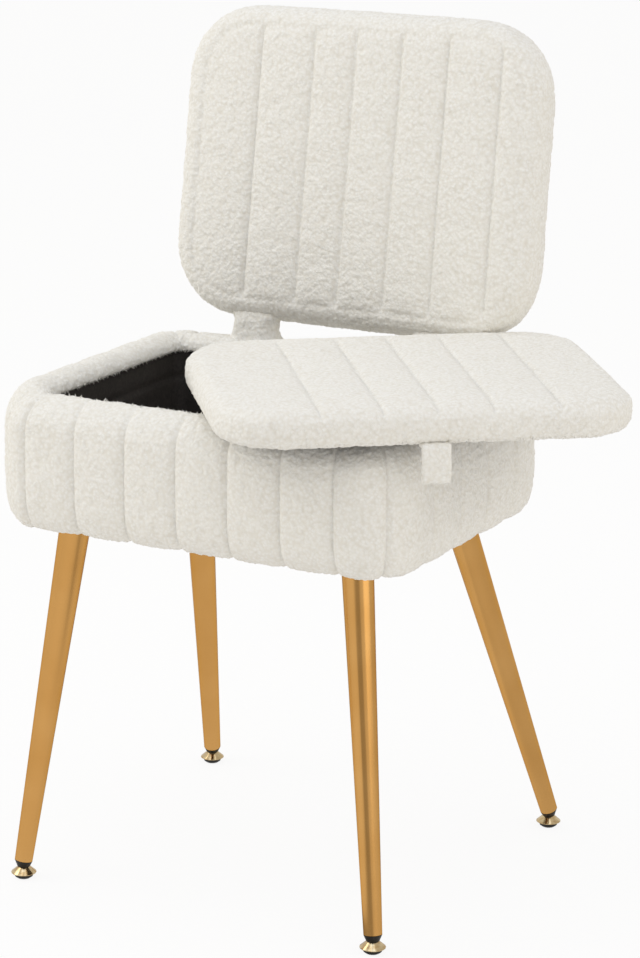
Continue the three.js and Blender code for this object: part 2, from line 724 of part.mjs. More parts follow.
function leaningPoint(depth, height) {
  const lean = backrestLean * degrees;
  return new THREE.Vector2(
    backrestFront + depth * Math.cos(lean) + height * Math.sin(lean),
    backrestBase - depth * Math.sin(lean) + height * Math.cos(lean));
}

// Moves a solid from the stool's frame into the leaning frame of the backrest
function intoBackrest(geometry) {
  return geometry.clone().translate(0, -backrestFront, -backrestBase).rotateX(backrestLean * degrees);
}

// A flat bar bent on edge: a strip of even thickness along a path in the Y-Z plane, extruded across
function bentBar(path, thickness, width) {
  const side = (p, q) => new THREE.Vector2(p.y - q.y, q.x - p.x).normalize();
  const offset = (sign) => path.map((p, i) => {
    const before = side(path[Math.max(i - 1, 0)], path[Math.max(i, 1)]);
    const after = side(path[Math.min(i, path.length - 2)], path[Math.min(i + 1, path.length - 1)]);
    const mean = before.clone().add(after).normalize();
    return p.clone().addScaledVector(mean, sign * thickness / 2 / mean.dot(after));
  });
  const shape = new THREE.Shape([...offset(1), ...offset(-1).reverse()]);
  const strip = new THREE.ExtrudeGeometry(shape, { depth: width, bevelEnabled: false });
  return strip.translate(0, 0, -width / 2).rotateY(quarterTurn).rotateX(quarterTurn);
}

const barPath = [
  new THREE.Vector2(carcassY + seatGap + barThickness / 2, rimHeight - barFootDrop),
  new THREE.Vector2(carcassY + seatGap + barThickness / 2, rimHeight - barBendDrop),
  leaningPoint(barCentre, barEntry),
  leaningPoint(barCentre, barRise),
];

function barSolid(x, clearance) {
  const path = barPath.map((p) => p.clone());
  path[0].y -= clearance;
  const end = path.at(-1).clone().sub(path.at(-2)).normalize();
  path.at(-1).addScaledVector(end, clearance);
  return bentBar(path, barThickness + 2 * clearance, barWidth + 2 * clearance).translate(x, 0, 0);
}

// The cushion's outside as a plain filled solid, for fitting the sleeves round its lower edge
function cushionSolid(growth) {
  const outline = roundedOutline(
    backrestHalfX + growth, backrestHalfZ + growth, backrestCornerRadius + growth);
  const rows = [
    [backrestBorder, -growth],
    [backrestEdgeRadius * edgeRollShare, backrestEdgeRadius * edgeRollShare - growth],
    [0, backrestEdgeRadius],
    [0, backrestThickness],
  ];
  return loftRings(rows.map(([inset, depth]) => outlineRing(outline, inset, depth)))
    .rotateX(quarterTurn).scale(1, -1, 1).translate(0, 0, backrestHalfZ);
}

function sleeveSolid(x) {
  const outline = roundedOutline(sleeveWidth / 2, sleeveDepth / 2, sleeveCornerRadius);
  const middle = sleeveSetback + sleeveDepth / 2;
  const levels = [
    { height: rimHeight + seatGap, flare: sleeveFlare },
    { height: rimHeight + sleeveFlareHeight, flare: 0 },
    { height: backrestBase + sleeveTuck, flare: 0 },
  ];
  const rings = levels.map(({ height, flare }) => {
    const rise = (height - backrestBase) / Math.cos(backrestLean * degrees);
    const centreY = leaningPoint(middle, rise).x;
    return outline.map(({ point, normal }) => new THREE.Vector3(
      x + point.x + normal.x * flare,
      centreY + point.y + normal.y * Math.min(flare, sleeveSetback), height));
  });
  return loftRings(rings);
}

function buildBackrest() {
  const bars = [-1, 1].map((side) => side * postSpacing / 2);
  const barCutters = bars.map((x) => intoBackrest(barSolid(x, seatGap)));
  const outerRows = [
    [backrestEdgeRadius * edgeRollShare, backrestEdgeRadius * edgeRollShare],
    [0, backrestEdgeRadius],
    [0, backrestThickness - backrestMouth - shellThickness / 2],
    [shellThickness / 2, backrestThickness - backrestMouth],
  ];
  const innerRows = [
    [shellThickness, backrestThickness - backrestMouth],
    [shellThickness, backrestEdgeRadius],
    [backrestEdgeRadius * innerRollShare, shellThickness + seamDepth],
  ];
  const cover = channelledBowl({
    halfX: backrestHalfX,
    halfY: backrestHalfZ,
    radius: backrestCornerRadius,
    border: backrestBorder,
    crown: backrestCrown,
    seams: backrestSeamShares.map((share) => share * backrestHalfX),
    outerRows,
    innerRows,
    rowShares: backrestRowShares,
  }).rotateX(quarterTurn).scale(1, -1, 1).translate(0, 0, backrestHalfZ);
  addMesh(backrest, 'backrest_cover', subtract(reoriented(cover), barCutters), pileWhite);

  const upright = (geometry) => reoriented(geometry.rotateX(quarterTurn).scale(1, -1, 1))
    .translate(0, 0, backrestHalfZ);
  const innerHalfX = backrestHalfX - shellThickness - fillGap;
  const innerHalfZ = backrestHalfZ - shellThickness - fillGap;
  const innerRadius = backrestCornerRadius - shellThickness - fillGap;
  const foamFront = shellThickness + seamDepth + padGap;
  const padOutline = roundedOutline(innerHalfX, innerHalfZ, innerRadius);
  const foam = upright(loftRings([
    outlineRing(padOutline, backrestEdgeRadius * innerRollShare - shellThickness, foamFront),
    outlineRing(padOutline, 0, backrestEdgeRadius + padGap),
    outlineRing(padOutline, 0, boardFace - seatGap),
  ]));
  const headCutters = bars.map((x) => roundCutter(boltHeadRadius + seatGap, backrestThickness)
    .rotateX(quarterTurn)
    .translate(x, barCentre - barThickness / 2 - boltHeadHeight - seatGap + backrestThickness / 2,
      backrestBoltHeight));
  addMesh(backrest, 'backrest_foam', subtract(foam, [...barCutters, ...headCutters]), foamCream);

  const boltHoles = bars.map((x) => (
    { x, y: backrestBoltHeight - backrestHalfZ, radius: boltRadius + seatGap }));
  const board = roundedPlate(
    innerHalfX, innerHalfZ, innerRadius, boardFace, backrestBoardThickness, boltHoles);
  addMesh(backrest, 'backrest_board', upright(board), plywood);
  addMesh(backrest, 'backrest_rear_pad', upright(loftRings([
    outlineRing(padOutline, 0, boardRear + seatGap),
    outlineRing(padOutline, 0, backrestThickness - rearPadRound),
    outlineRing(padOutline, rearPadRound, backrestThickness - backrestMouth / 2),
    outlineRing(padOutline, rearPadSlope, backrestThickness),
  ])), pileWhite);

  bars.forEach((x, i) => {
    const key = i === 0 ? 'left' : 'right';
    const hole = () => roundCutter(boltRadius + seatGap, barThickness + 2 * cutOverrun);
    const holes = postBoltHeights.map((height) => hole()
      .rotateX(quarterTurn).translate(x, carcassY + seatGap + barThickness / 2, height));
    const upper = leaningPoint(barCentre, backrestBoltHeight);
    holes.push(hole().rotateX(quarterTurn - backrestLean * degrees).translate(x, upper.x, upper.y));
    addMesh(stool, `post_bar_${key}`, subtract(reoriented(barSolid(x, 0)), holes), zincSteel);
    postBoltHeights.forEach((height, n) => {
      const bolt = boltSolid(barThickness + seatGap + panelThickness - boltPointGap).rotateX(quarterTurn);
      addMesh(stool, `post_bolt_${key}_${n + 1}`,
        bolt.translate(x, carcassY + seatGap + barThickness, height), zincSteel);
    });
    const bolt = boltSolid(barThickness + seatGap + backrestBoardThickness - boltPointGap)
      .rotateX(-quarterTurn);
    addMesh(backrest, `backrest_bolt_${key}`,
      bolt.translate(x, barCentre - barThickness / 2, backrestBoltHeight), zincSteel);
    const cushion = reoriented(cushionSolid(seatGap)).rotateX(-backrestLean * degrees)
      .translate(0, backrestFront, backrestBase);
    addMesh(stool, `post_sleeve_${key}`,
      subtract(reoriented(sleeveSolid(x)), [cushion, reoriented(barSolid(x, seatGap))]), pileWhite);
  });
}

// Turns a mirrored solid's faces outward again
function reoriented(geometry) {
  const bare = geometry.clone();
  bare.deleteAttribute('normal');
  bare.deleteAttribute('uv');
  const merged = mergeVertices(bare);
  const positions = merged.attributes.position;
  const points = Array.from({ length: positions.count }, (_, i) => (
    new THREE.Vector3().fromBufferAttribute(positions, i)));
  const faces = [];
  for (let i = 0; i < merged.index.count; i += 3) {
    faces.push([merged.index.getX(i), merged.index.getX(i + 1), merged.index.getX(i + 2)]);
  }
  return solidFromFaces(points, faces);
}

// The padding and cover of the box, opened for the posts that rise through them
function buildBoxPadding() {
  const cutters = [-1, 1].map((side) => reoriented(barSolid(side * postSpacing / 2, seatGap)));
  const heads = postBoltHeights.flatMap((height) => [-1, 1].map((side) => roundCutter(
    boltHeadRadius + seatGap, 2 * (barThickness + boltHeadHeight + 2 * seatGap))
    .rotateX(quarterTurn).translate(side * postSpacing / 2, carcassY, height)));
  addMesh(stool, 'box_foam', subtract(boxFoamSolid(), [...cutters, ...heads]), foamCream);
  addMesh(stool, 'box_cover', subtract(boxCoverSolid(), cutters), pileWhite);
}

// Lid: local x across, y front to back, z up from the lid's underside, turned about the pole
// that carries it between square on the box and askew

const lid = new THREE.Group();
const lidPole = new THREE.Vector2(lidPoleOffset, boxDepth / 2 + lidPoleReach);
const lidAskew = new THREE.Vector2(0, -lidBackGap / 2).rotateAround(lidPole, lidYaw * degrees);
lid.position.set(lidAskew.x, lidAskew.y, rimHeight + seatGap);
lid.rotation.z = lidYaw * degrees;
stool.add(lid);

function buildLid() {
  const flangeBase = lidLiningThickness + seatGap;
  const depthOf = (height) => lidThickness - height;
  const widest = lidEdgeRadius * lidWidestShare;
  const cover = channelledBowl({
    halfX: lidWidth / 2,
    halfY: lidDepth / 2,
    radius: lidCornerRadius,
    border: lidBorder,
    crown: lidCrown,
    seams: seamRow(lidWidth / 2 - lidBorder),
    outerRows: [
      lidShoulderShares.map((share) => lidEdgeRadius * share),
      [0, widest],
      [lidEdgeRadius * lidLowerShares[0], depthOf(flangeBase) - lidEdgeRadius * lidLowerShares[1]],
      [lidEdgeRadius * lidTuckShare, depthOf(flangeBase)],
      [lidFlange, depthOf(flangeBase)],
    ],
    innerRows: [
      [lidFlange, depthOf(flangeBase + lidFlangeThickness)],
      [shellThickness, depthOf(flangeBase + lidFlangeThickness)],
      [shellThickness, widest],
      [lidEdgeRadius, shellThickness + seamDepth],
    ],
    rowShares: lidRowShares,
  });
  addMesh(lid, 'lid_cover',
    reoriented(cover.scale(1, 1, -1)).translate(0, 0, lidThickness), pileWhite);
  const boardBase = flangeBase + lidFlangeThickness + seatGap;
  const boardHalfX = lidWidth / 2 - lidBoardInset;
  const boardHalfY = lidDepth / 2 - lidBoardInset;
  const boardRadius = lidCornerRadius - lidBoardInset;
  addMesh(lid, 'lid_board',
    roundedPlate(boardHalfX, boardHalfY, boardRadius, boardBase, lidBoardThickness), plywood);
  const padOutline = roundedOutline(boardHalfX, boardHalfY, boardRadius);
  const foamBase = boardBase + lidBoardThickness;
  addMesh(lid, 'lid_foam', loftRings([
    outlineRing(padOutline, 0, foamBase),
    outlineRing(padOutline, 0, lidThickness - widest - padGap),
    outlineRing(padOutline, lidEdgeRadius - lidBoardInset + padGap,
      lidThickness - shellThickness - seamDepth - padGap),
  ]), foamCream);
  addMesh(lid, 'lid_underlining', roundedPlate(
    lidWidth / 2 - lidLiningInset, lidDepth / 2 - lidLiningInset, lidCornerRadius - lidLiningInset,
    0, lidLiningThickness), liningBlack);
  addMesh(lid, 'lid_tab', tabSolid(flangeBase - seatGap), pileWhite);
}

// Pull tab: a folded strip sewn under the lid's front edge, turned down clear of the box's front
function tabSolid(top) {
  const middle = top - tabThickness / 2;
  const hang = -lidDepth / 2 - seatGap - tabThickness / 2;
  const bend = Array.from({ length: bendSteps + 1 }, (_, step) => {
    const angle = quarterTurn * (1 + step / bendSteps);
    return new THREE.Vector2(
      hang + tabBend * (1 + Math.cos(angle)), middle - tabBend * (1 - Math.sin(angle)));
  });
  return reoriented(bentBar([
    new THREE.Vector2(lidLiningInset - lidDepth / 2 - seatGap, middle),
    ...bend,
    new THREE.Vector2(hang, -tabLength),
  ], tabThickness, tabWidth));
}

buildBox();
buildBoxPadding();
buildLegs();
buildBackrest();
buildLid();

// The origin is the middle of the whole stool's floor area, with the lid where it lies
stool.updateMatrixWorld(true);
const reach = new THREE.Box3().setFromObject(stool, true);
const middle = reach.getCenter(new THREE.Vector3());
stool.position.set(-middle.x, -middle.y, 0);

export default stool;
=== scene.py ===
"""Looks of a vanity stool: curly pile covers with sewn channels, a black lined box, satin gold legs.

Sizes are in millimetres in the stool's own frame, whose origin is on the floor under the middle of the
base board, X to the right, Y to the back and Z up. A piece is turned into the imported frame, in metres,
when its mesh is made.
"""

import json
import logging
import math
from dataclasses import dataclass, field
from enum import Enum
from typing import Optional, Sequence

import bpy
import numpy as np
from mathutils import Matrix, Vector

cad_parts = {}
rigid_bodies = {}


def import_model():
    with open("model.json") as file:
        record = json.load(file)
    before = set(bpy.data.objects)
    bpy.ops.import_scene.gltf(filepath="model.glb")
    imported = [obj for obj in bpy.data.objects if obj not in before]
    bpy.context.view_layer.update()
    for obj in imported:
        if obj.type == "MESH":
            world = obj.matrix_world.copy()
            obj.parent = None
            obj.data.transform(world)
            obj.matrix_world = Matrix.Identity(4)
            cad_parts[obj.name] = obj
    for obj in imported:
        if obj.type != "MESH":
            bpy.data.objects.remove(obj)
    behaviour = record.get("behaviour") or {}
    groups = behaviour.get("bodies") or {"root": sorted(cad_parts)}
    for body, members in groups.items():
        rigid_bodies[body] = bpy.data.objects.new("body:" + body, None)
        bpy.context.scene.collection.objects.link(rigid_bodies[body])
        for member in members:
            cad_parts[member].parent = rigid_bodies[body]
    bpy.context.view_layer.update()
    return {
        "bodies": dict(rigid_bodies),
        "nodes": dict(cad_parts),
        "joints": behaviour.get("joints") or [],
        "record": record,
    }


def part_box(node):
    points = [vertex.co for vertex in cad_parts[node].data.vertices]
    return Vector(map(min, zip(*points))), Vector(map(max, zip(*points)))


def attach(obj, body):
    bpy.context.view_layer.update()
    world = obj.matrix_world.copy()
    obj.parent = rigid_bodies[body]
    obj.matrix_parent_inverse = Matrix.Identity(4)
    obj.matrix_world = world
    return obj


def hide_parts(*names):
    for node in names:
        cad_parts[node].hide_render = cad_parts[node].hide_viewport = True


LOG = logging.getLogger("vanity_stool")
MM = 0.001

Points = np.ndarray
Faces = list
Tree = bpy.types.NodeTree
Node = bpy.types.Node
Socket = bpy.types.NodeSocket
Piece = bpy.types.Object


class Side(Enum):
    """A left or right piece of a pair, with its sign along X."""

    LEFT = -1
    RIGHT = 1


class Slot(Enum):
    """The record's material slots."""

    PILE = "pile_cloth"
    LINING = "lining_cloth"
    PLYWOOD = "plywood"
    FOAM = "foam"
    GOLD = "leg_gold"
    BRASS = "glide_brass"
    NYLON = "black_nylon"
    ZINC = "zinc_steel"


# Materials


def linear(code: str) -> tuple[float, float, float, float]:
    """Turns an sRGB hex colour into Blender's linear colour.

    Args:
        code: six hex digits, with or without a leading hash.

    Returns:
        Linear red, green, blue and an alpha of one.
    """
    digits = code.lstrip("#")
    shares = [int(digits[i:i + 2], 16) / 255 for i in (0, 2, 4)]
    return (*[s / 12.92 if s <= 0.04045 else ((s + 0.055) / 1.055) ** 2.4 for s in shares], 1.0)


def add_node(tree: Tree, kind: str, inputs: Optional[dict] = None, **settings) -> Node:
    """Adds a node to a tree with its settings and links.

    Args:
        tree: the node tree.
        kind: Blender's name of the node type.
        inputs: input name or index to a value, or to the output socket that feeds it.
        settings: attributes of the node.

    Returns:
        The new node.
    """
    node = tree.nodes.new(kind)
    for name, value in settings.items():
        setattr(node, name, value)
    for key, value in (inputs or {}).items():
        if isinstance(value, Socket):
            tree.links.new(value, node.inputs[key])
        else:
            node.inputs[key].default_value = value
    return node


def per_metre(size_mm: float) -> float:
    """Scale of a noise or cell pattern whose features are size_mm wide."""
    return 1 / (size_mm * MM)


@dataclass
class Surface:
    """A material under work: its node tree, its Principled shader and the object's own coordinates."""

    tree: Tree
    shader: Node
    place: Socket

    def add(self, kind: str, inputs: Optional[dict] = None, **settings) -> Node:
        """Adds a node to the material."""
        return add_node(self.tree, kind, inputs, **settings)

    def feed(self, name: str, source: Socket) -> None:
        """Links an output to one of the shader's sockets."""
        self.tree.links.new(source, self.shader.inputs[name])

    def tones(self, pattern: Socket, low: float, high: float, first: str, second: str) -> Socket:
        """Blends two tones by a pattern.

        Args:
            pattern: the pattern's value.
            low: the value at which the first tone shows alone.
            high: the value at which the second tone shows alone.
            first: an sRGB hex colour.
            second: another.

        Returns:
            The blended colour.
        """
        share = self.add("ShaderNodeMapRange", {0: pattern, 1: low, 2: high})
        blend = self.add("ShaderNodeMix", {0: share.outputs[0], 6: linear(first), 7: linear(second)},
                         data_type="RGBA")
        return blend.outputs[2]

    def vary_gloss(self, pattern: Socket, high: float, least: float, most: float,
                   low: float = 0.3) -> None:
        """Lets the roughness follow a pattern.

        Args:
            pattern: the pattern's value.
            high: the value that gives the most roughness.
            least: the least roughness.
            most: the most roughness.
            low: the value that gives the least roughness.
        """
        gloss = self.add("ShaderNodeMapRange", {0: pattern, 1: low, 2: high, 3: least, 4: most})
        self.feed("Roughness", gloss.outputs[0])


@dataclass(frozen=True)
class Finish:
    """A surface finish: its name and the settings of its Principled shader."""

    name: str
    roughness: float = 0.5
    metallic: float = 0.0

    def material(self) -> bpy.types.Material:
        """Makes the finish's material, or finds the one made before.

        Returns:
            The material.
        """
        known = bpy.data.materials.get(self.name)
        if known is not None:
            return known
        made = bpy.data.materials.new(self.name)
        made.use_nodes = True
        tree = made.node_tree
        tree.nodes.clear()
        shader = add_node(tree, "ShaderNodeBsdfPrincipled",
                          {"Roughness": self.roughness, "Metallic": self.metallic})
        add_node(tree, "ShaderNodeOutputMaterial", {"Surface": shader.outputs[0]})
        self.dress(Surface(tree, shader, add_node(tree, "ShaderNodeTexCoord").outputs["Object"]))
        return made

    def dress(self, surface: Surface) -> None:
        """Adds the finish's own patterns to the surface."""
        raise NotImplementedError


@dataclass(frozen=True)
class CurlyPile(Finish):
    """Ivory polyester boucle pile, looped and brushed: matt curls under 3 mm wide, whose colour carries
    painted light, paler on their tips, and a painted warm grey shade between them, with a soft random
    paler mottling."""

    # Painted light: tip is a painted highlight on the curls' tips, shade a painted shade in the valleys
    # between them; drift is a random paler mottle
    tip: str = "#F9F8F4"
    shade: str = "#E9E5DB"
    drift: str = "#F3F1EA"
    curl_mm: float = 2.8
    yarn_mm: float = 0.9
    bend_mm: float = 5.0
    bend_reach_mm: float = 2.2
    mottle_mm: float = 16.0
    relief_mm: float = 0.9

    def dress(self, surface: Surface) -> None:
        """Adds curls, yarn and mottling to colour and bump, and paints light on the curls' tips and
        shade between them.

        Args:
            surface: the material under work.
        """
        place = surface.place
        bend = surface.add("ShaderNodeTexNoise",
                           {"Vector": place, "Scale": per_metre(self.bend_mm), "Detail": 2.0})
        pushed = surface.add("ShaderNodeMix",
                             {0: self.bend_reach_mm * MM, 4: place, 5: bend.outputs["Color"]},
                             data_type="VECTOR")
        curls = surface.add("ShaderNodeTexVoronoi",
                            {"Vector": pushed.outputs[1], "Scale": per_metre(self.curl_mm),
                             "Smoothness": 0.55}, feature="SMOOTH_F1")
        yarn = surface.add("ShaderNodeTexNoise", {"Vector": place, "Scale": per_metre(self.yarn_mm),
                                                  "Detail": 3.0, "Roughness": 0.6})
        mottle = surface.add("ShaderNodeTexNoise",
                             {"Vector": place, "Scale": per_metre(self.mottle_mm), "Detail": 2.0})
        height = surface.add("ShaderNodeMath", {0: curls.outputs["Distance"], 1: -1.0, 2: 1.0},
                             operation="MULTIPLY_ADD")
        rough = surface.add("ShaderNodeMath", {0: yarn.outputs[0], 1: 0.5, 2: height.outputs[0]},
                            operation="MULTIPLY_ADD")
        # Painted light and shade: the tip colour where the curls stand high, the shade colour low
        # between them
        curl_painted_light = surface.tones(rough.outputs[0], 0.45, 1.2, self.shade, self.tip)
        patch = surface.add("ShaderNodeMapRange", {0: mottle.outputs[0], 1: 0.35, 2: 0.7, 4: 0.35})
        colour = surface.add("ShaderNodeMix",
                             {0: patch.outputs[0], 6: curl_painted_light, 7: linear(self.drift)},
                             data_type="RGBA")
        bump = surface.add("ShaderNodeBump", {"Height": rough.outputs[0],
                                              "Distance": self.relief_mm * MM, "Strength": 0.8})
        surface.feed("Base Color", colour.outputs[2])
        surface.feed("Normal", bump.outputs[0])
        for name, level in (("Sheen Weight", 0.12), ("Sheen Roughness", 0.6),
                            ("Specular IOR Level", 0.15)):
            surface.shader.inputs[name].default_value = level


@dataclass(frozen=True)
class BondedCloth(Finish):
    """Black spunbonded polypropylene: a thin cloth of pressed fibres with a grid of bonding points
    1.5 mm apart, which gives it a faint dull sheen and a fine dimpled grain."""

    ink: str = "#2D2A28"
    worn: str = "#4C4743"
    bond_mm: float = 1.5
    fibre_mm: float = 2.2
    crease_mm: float = 45.0
    dimple_depth_mm: float = 0.3
    crease_depth_mm: float = 4.0

    def dress(self, surface: Surface) -> None:
        """Adds bonding points, fibre streaks and slow creases.

        Args:
            surface: the material under work.
        """
        place = surface.place
        fibre = surface.add("ShaderNodeTexNoise", {"Vector": place, "Scale": per_metre(self.fibre_mm),
                                                   "Detail": 4.0, "Roughness": 0.7})
        points = surface.add("ShaderNodeTexVoronoi",
                             {"Vector": place, "Scale": per_metre(self.bond_mm), "Randomness": 0.25})
        slow = surface.add("ShaderNodeTexNoise",
                           {"Vector": place, "Scale": per_metre(self.crease_mm), "Detail": 2.0})
        near = surface.add("ShaderNodeBump",
                           {"Height": points.outputs["Distance"],
                            "Distance": self.dimple_depth_mm * MM, "Strength": 0.5})
        wide = surface.add("ShaderNodeBump",
                           {"Height": slow.outputs[0], "Distance": self.crease_depth_mm * MM,
                            "Strength": 0.35, "Normal": near.outputs[0]})
        surface.feed("Base Color", surface.tones(fibre.outputs[0], 0.3, 0.75, self.ink, self.worn))
        surface.feed("Normal", wide.outputs[0])


@dataclass(frozen=True)
class PlatedTube(Finish):
    """Satin gold plated steel tube, drawn and polished along its length: warm yellow metal with long
    soft reflections down it, a little paler towards its edges."""

    bright: str = "#E6B069"
    deep: str = "#DAA25A"
    edge: str = "#EFD8B6"
    brush_mm: float = 1.2
    brush_depth_mm: float = 0.01
    cloud_mm: float = 60.0

    def dress(self, surface: Surface) -> None:
        """Adds drawing lines down the tube and a slow change of tone along it.

        Args:
            surface: the material under work.
        """
        drawn = surface.add("ShaderNodeMapping", {"Vector": surface.place, "Scale": (1.0, 1.0, 0.03)})
        brush = surface.add("ShaderNodeTexNoise", {"Vector": drawn.outputs[0],
                                                   "Scale": per_metre(self.brush_mm), "Detail": 3.0})
        slow = surface.add("ShaderNodeTexNoise",
                           {"Vector": surface.place, "Scale": per_metre(self.cloud_mm), "Detail": 2.0})
        tone = surface.add("ShaderNodeMath", {0: brush.outputs[0], 1: 0.12, 2: slow.outputs[0]},
                           operation="MULTIPLY_ADD")
        bump = surface.add("ShaderNodeBump",
                           {"Height": brush.outputs[0], "Distance": self.brush_depth_mm * MM,
                            "Strength": 0.08})
        surface.shader.inputs["Specular Tint"].default_value = linear(self.edge)
        surface.feed("Base Color", surface.tones(tone.outputs[0], 0.35, 0.8, self.deep, self.bright))
        surface.vary_gloss(brush.outputs[0], 0.7, self.roughness - 0.01, self.roughness + 0.02)
        surface.feed("Normal", bump.outputs[0])


@dataclass(frozen=True)
class PolishedBrass(Finish):
    """Polished brass plating on a turned disc: mirror-like pale gold with faint turning rings. The real
    rings are too fine to show, so they are drawn twenty times coarser."""

    bright: str = "#E6D2A8"
    deep: str = "#C9A978"
    ring_mm: float = 0.5
    coarser: float = 20.0
    ring_depth_mm: float = 0.02
    finger_mm: float = 4.0

    def dress(self, surface: Surface) -> None:
        """Adds turning marks and fingered, duller patches.

        Args:
            surface: the material under work.
        """
        place = surface.place
        marks = surface.add("ShaderNodeTexNoise",
                            {"Vector": place, "Scale": per_metre(self.finger_mm), "Detail": 3.0})
        rings = surface.add("ShaderNodeTexWave",
                            {"Vector": place, "Scale": per_metre(self.ring_mm) / self.coarser,
                             "Distortion": 0.4}, bands_direction="Z")
        bump = surface.add("ShaderNodeBump",
                           {"Height": rings.outputs[1], "Distance": self.ring_depth_mm * MM,
                            "Strength": 0.3})
        surface.feed("Base Color", surface.tones(marks.outputs[0], 0.35, 0.7, self.deep, self.bright))
        surface.vary_gloss(marks.outputs[0], 0.7, self.roughness * 0.7, self.roughness * 1.6)
        surface.feed("Normal", bump.outputs[0])


@dataclass(frozen=True)
class MouldedNylon(Finish):
    """Black moulded nylon with a fine spark-eroded texture, scuffed a little paler."""

    ink: str = "#15120F"
    scuff: str = "#2B2622"
    grain_mm: float = 0.5
    grain_depth_mm: float = 0.06
    scuff_mm: float = 5.0

    def dress(self, surface: Surface) -> None:
        """Adds the mould's grain and pale scuffs.

        Args:
            surface: the material under work.
        """
        place = surface.place
        grain = surface.add("ShaderNodeTexNoise",
                            {"Vector": place, "Scale": per_metre(self.grain_mm), "Detail": 2.0})
        scuffs = surface.add("ShaderNodeTexNoise",
                             {"Vector": place, "Scale": per_metre(self.scuff_mm), "Detail": 4.0})
        bump = surface.add("ShaderNodeBump",
                           {"Height": grain.outputs[0], "Distance": self.grain_depth_mm * MM,
                            "Strength": 0.5})
        surface.feed("Base Color", surface.tones(scuffs.outputs[0], 0.5, 0.75, self.ink, self.scuff))
        surface.feed("Normal", bump.outputs[0])


@dataclass(frozen=True)
class BarePlywood(Finish):
    """Bare poplar plywood, peeled and pressed: a pale brown face with long grain and fine dark pores."""

    pale: str = "#D2B48A"
    dark: str = "#A98558"
    grain_mm: float = 3.0
    grain_depth_mm: float = 0.2

    def dress(self, surface: Surface) -> None:
        """Adds grain that runs along X and its fine pores.

        Args:
            surface: the material under work.
        """
        drawn = surface.add("ShaderNodeMapping", {"Vector": surface.place, "Scale": (0.06, 1.0, 1.0)})
        grain = surface.add("ShaderNodeTexNoise", {"Vector": drawn.outputs[0],
                                                   "Scale": per_metre(self.grain_mm), "Detail": 5.0})
        bump = surface.add("ShaderNodeBump",
                           {"Height": grain.outputs[0], "Distance": self.grain_depth_mm * MM,
                            "Strength": 0.4})
        surface.feed("Base Color", surface.tones(grain.outputs[0], 0.3, 0.7, self.dark, self.pale))
        surface.feed("Normal", bump.outputs[0])


@dataclass(frozen=True)
class ZincPlate(Finish):
    """Bright zinc plated steel: cool grey metal with a faint frosted spangle."""

    pale: str = "#B9BDC0"
    dark: str = "#8F9497"
    spangle_mm: float = 1.6

    def dress(self, surface: Surface) -> None:
        """Adds the spangle to colour and roughness.

        Args:
            surface: the material under work.
        """
        cells = surface.add("ShaderNodeTexVoronoi",
                            {"Vector": surface.place, "Scale": per_metre(self.spangle_mm)})
        spangle = cells.outputs["Distance"]
        surface.feed("Base Color", surface.tones(spangle, 0.0, 0.8, self.pale, self.dark))
        surface.vary_gloss(spangle, 0.8, self.roughness - 0.06, self.roughness + 0.08, low=0.0)


PILE = CurlyPile("ivory_curly_pile", roughness=0.95)
LINING = BondedCloth("black_bonded_cloth", roughness=0.62)
GOLD = PlatedTube("satin_gold_plated_steel", roughness=0.21, metallic=1.0)
BRASS = PolishedBrass("polished_brass_plating", roughness=0.13, metallic=1.0)
NYLON = MouldedNylon("black_moulded_nylon", roughness=0.48)
PLYWOOD = BarePlywood("bare_poplar_plywood", roughness=0.7)
ZINC = ZincPlate("zinc_plated_steel", roughness=0.36, metallic=1.0)

FINISH_OF_SLOT = {Slot.PILE: PILE, Slot.LINING: LINING, Slot.PLYWOOD: PLYWOOD, Slot.FOAM: PILE,
                  Slot.GOLD: GOLD, Slot.BRASS: BRASS, Slot.NYLON: NYLON, Slot.ZINC: ZINC}


# Frames


@dataclass
class Place:
    """A local frame in the stool's frame: a turn, then a shift, in millimetres."""

    turn: np.ndarray = field(default_factory=lambda: np.eye(3))
    shift: np.ndarray = field(default_factory=lambda: np.zeros(3))

    def out(self, points: Points) -> Points:
        """Points from this frame into the stool's."""
        return points @ self.turn.T + self.shift

    def back(self, points: Points) -> Points:
        """Points from the stool's frame into this one."""
        return (points - self.shift) @ self.turn


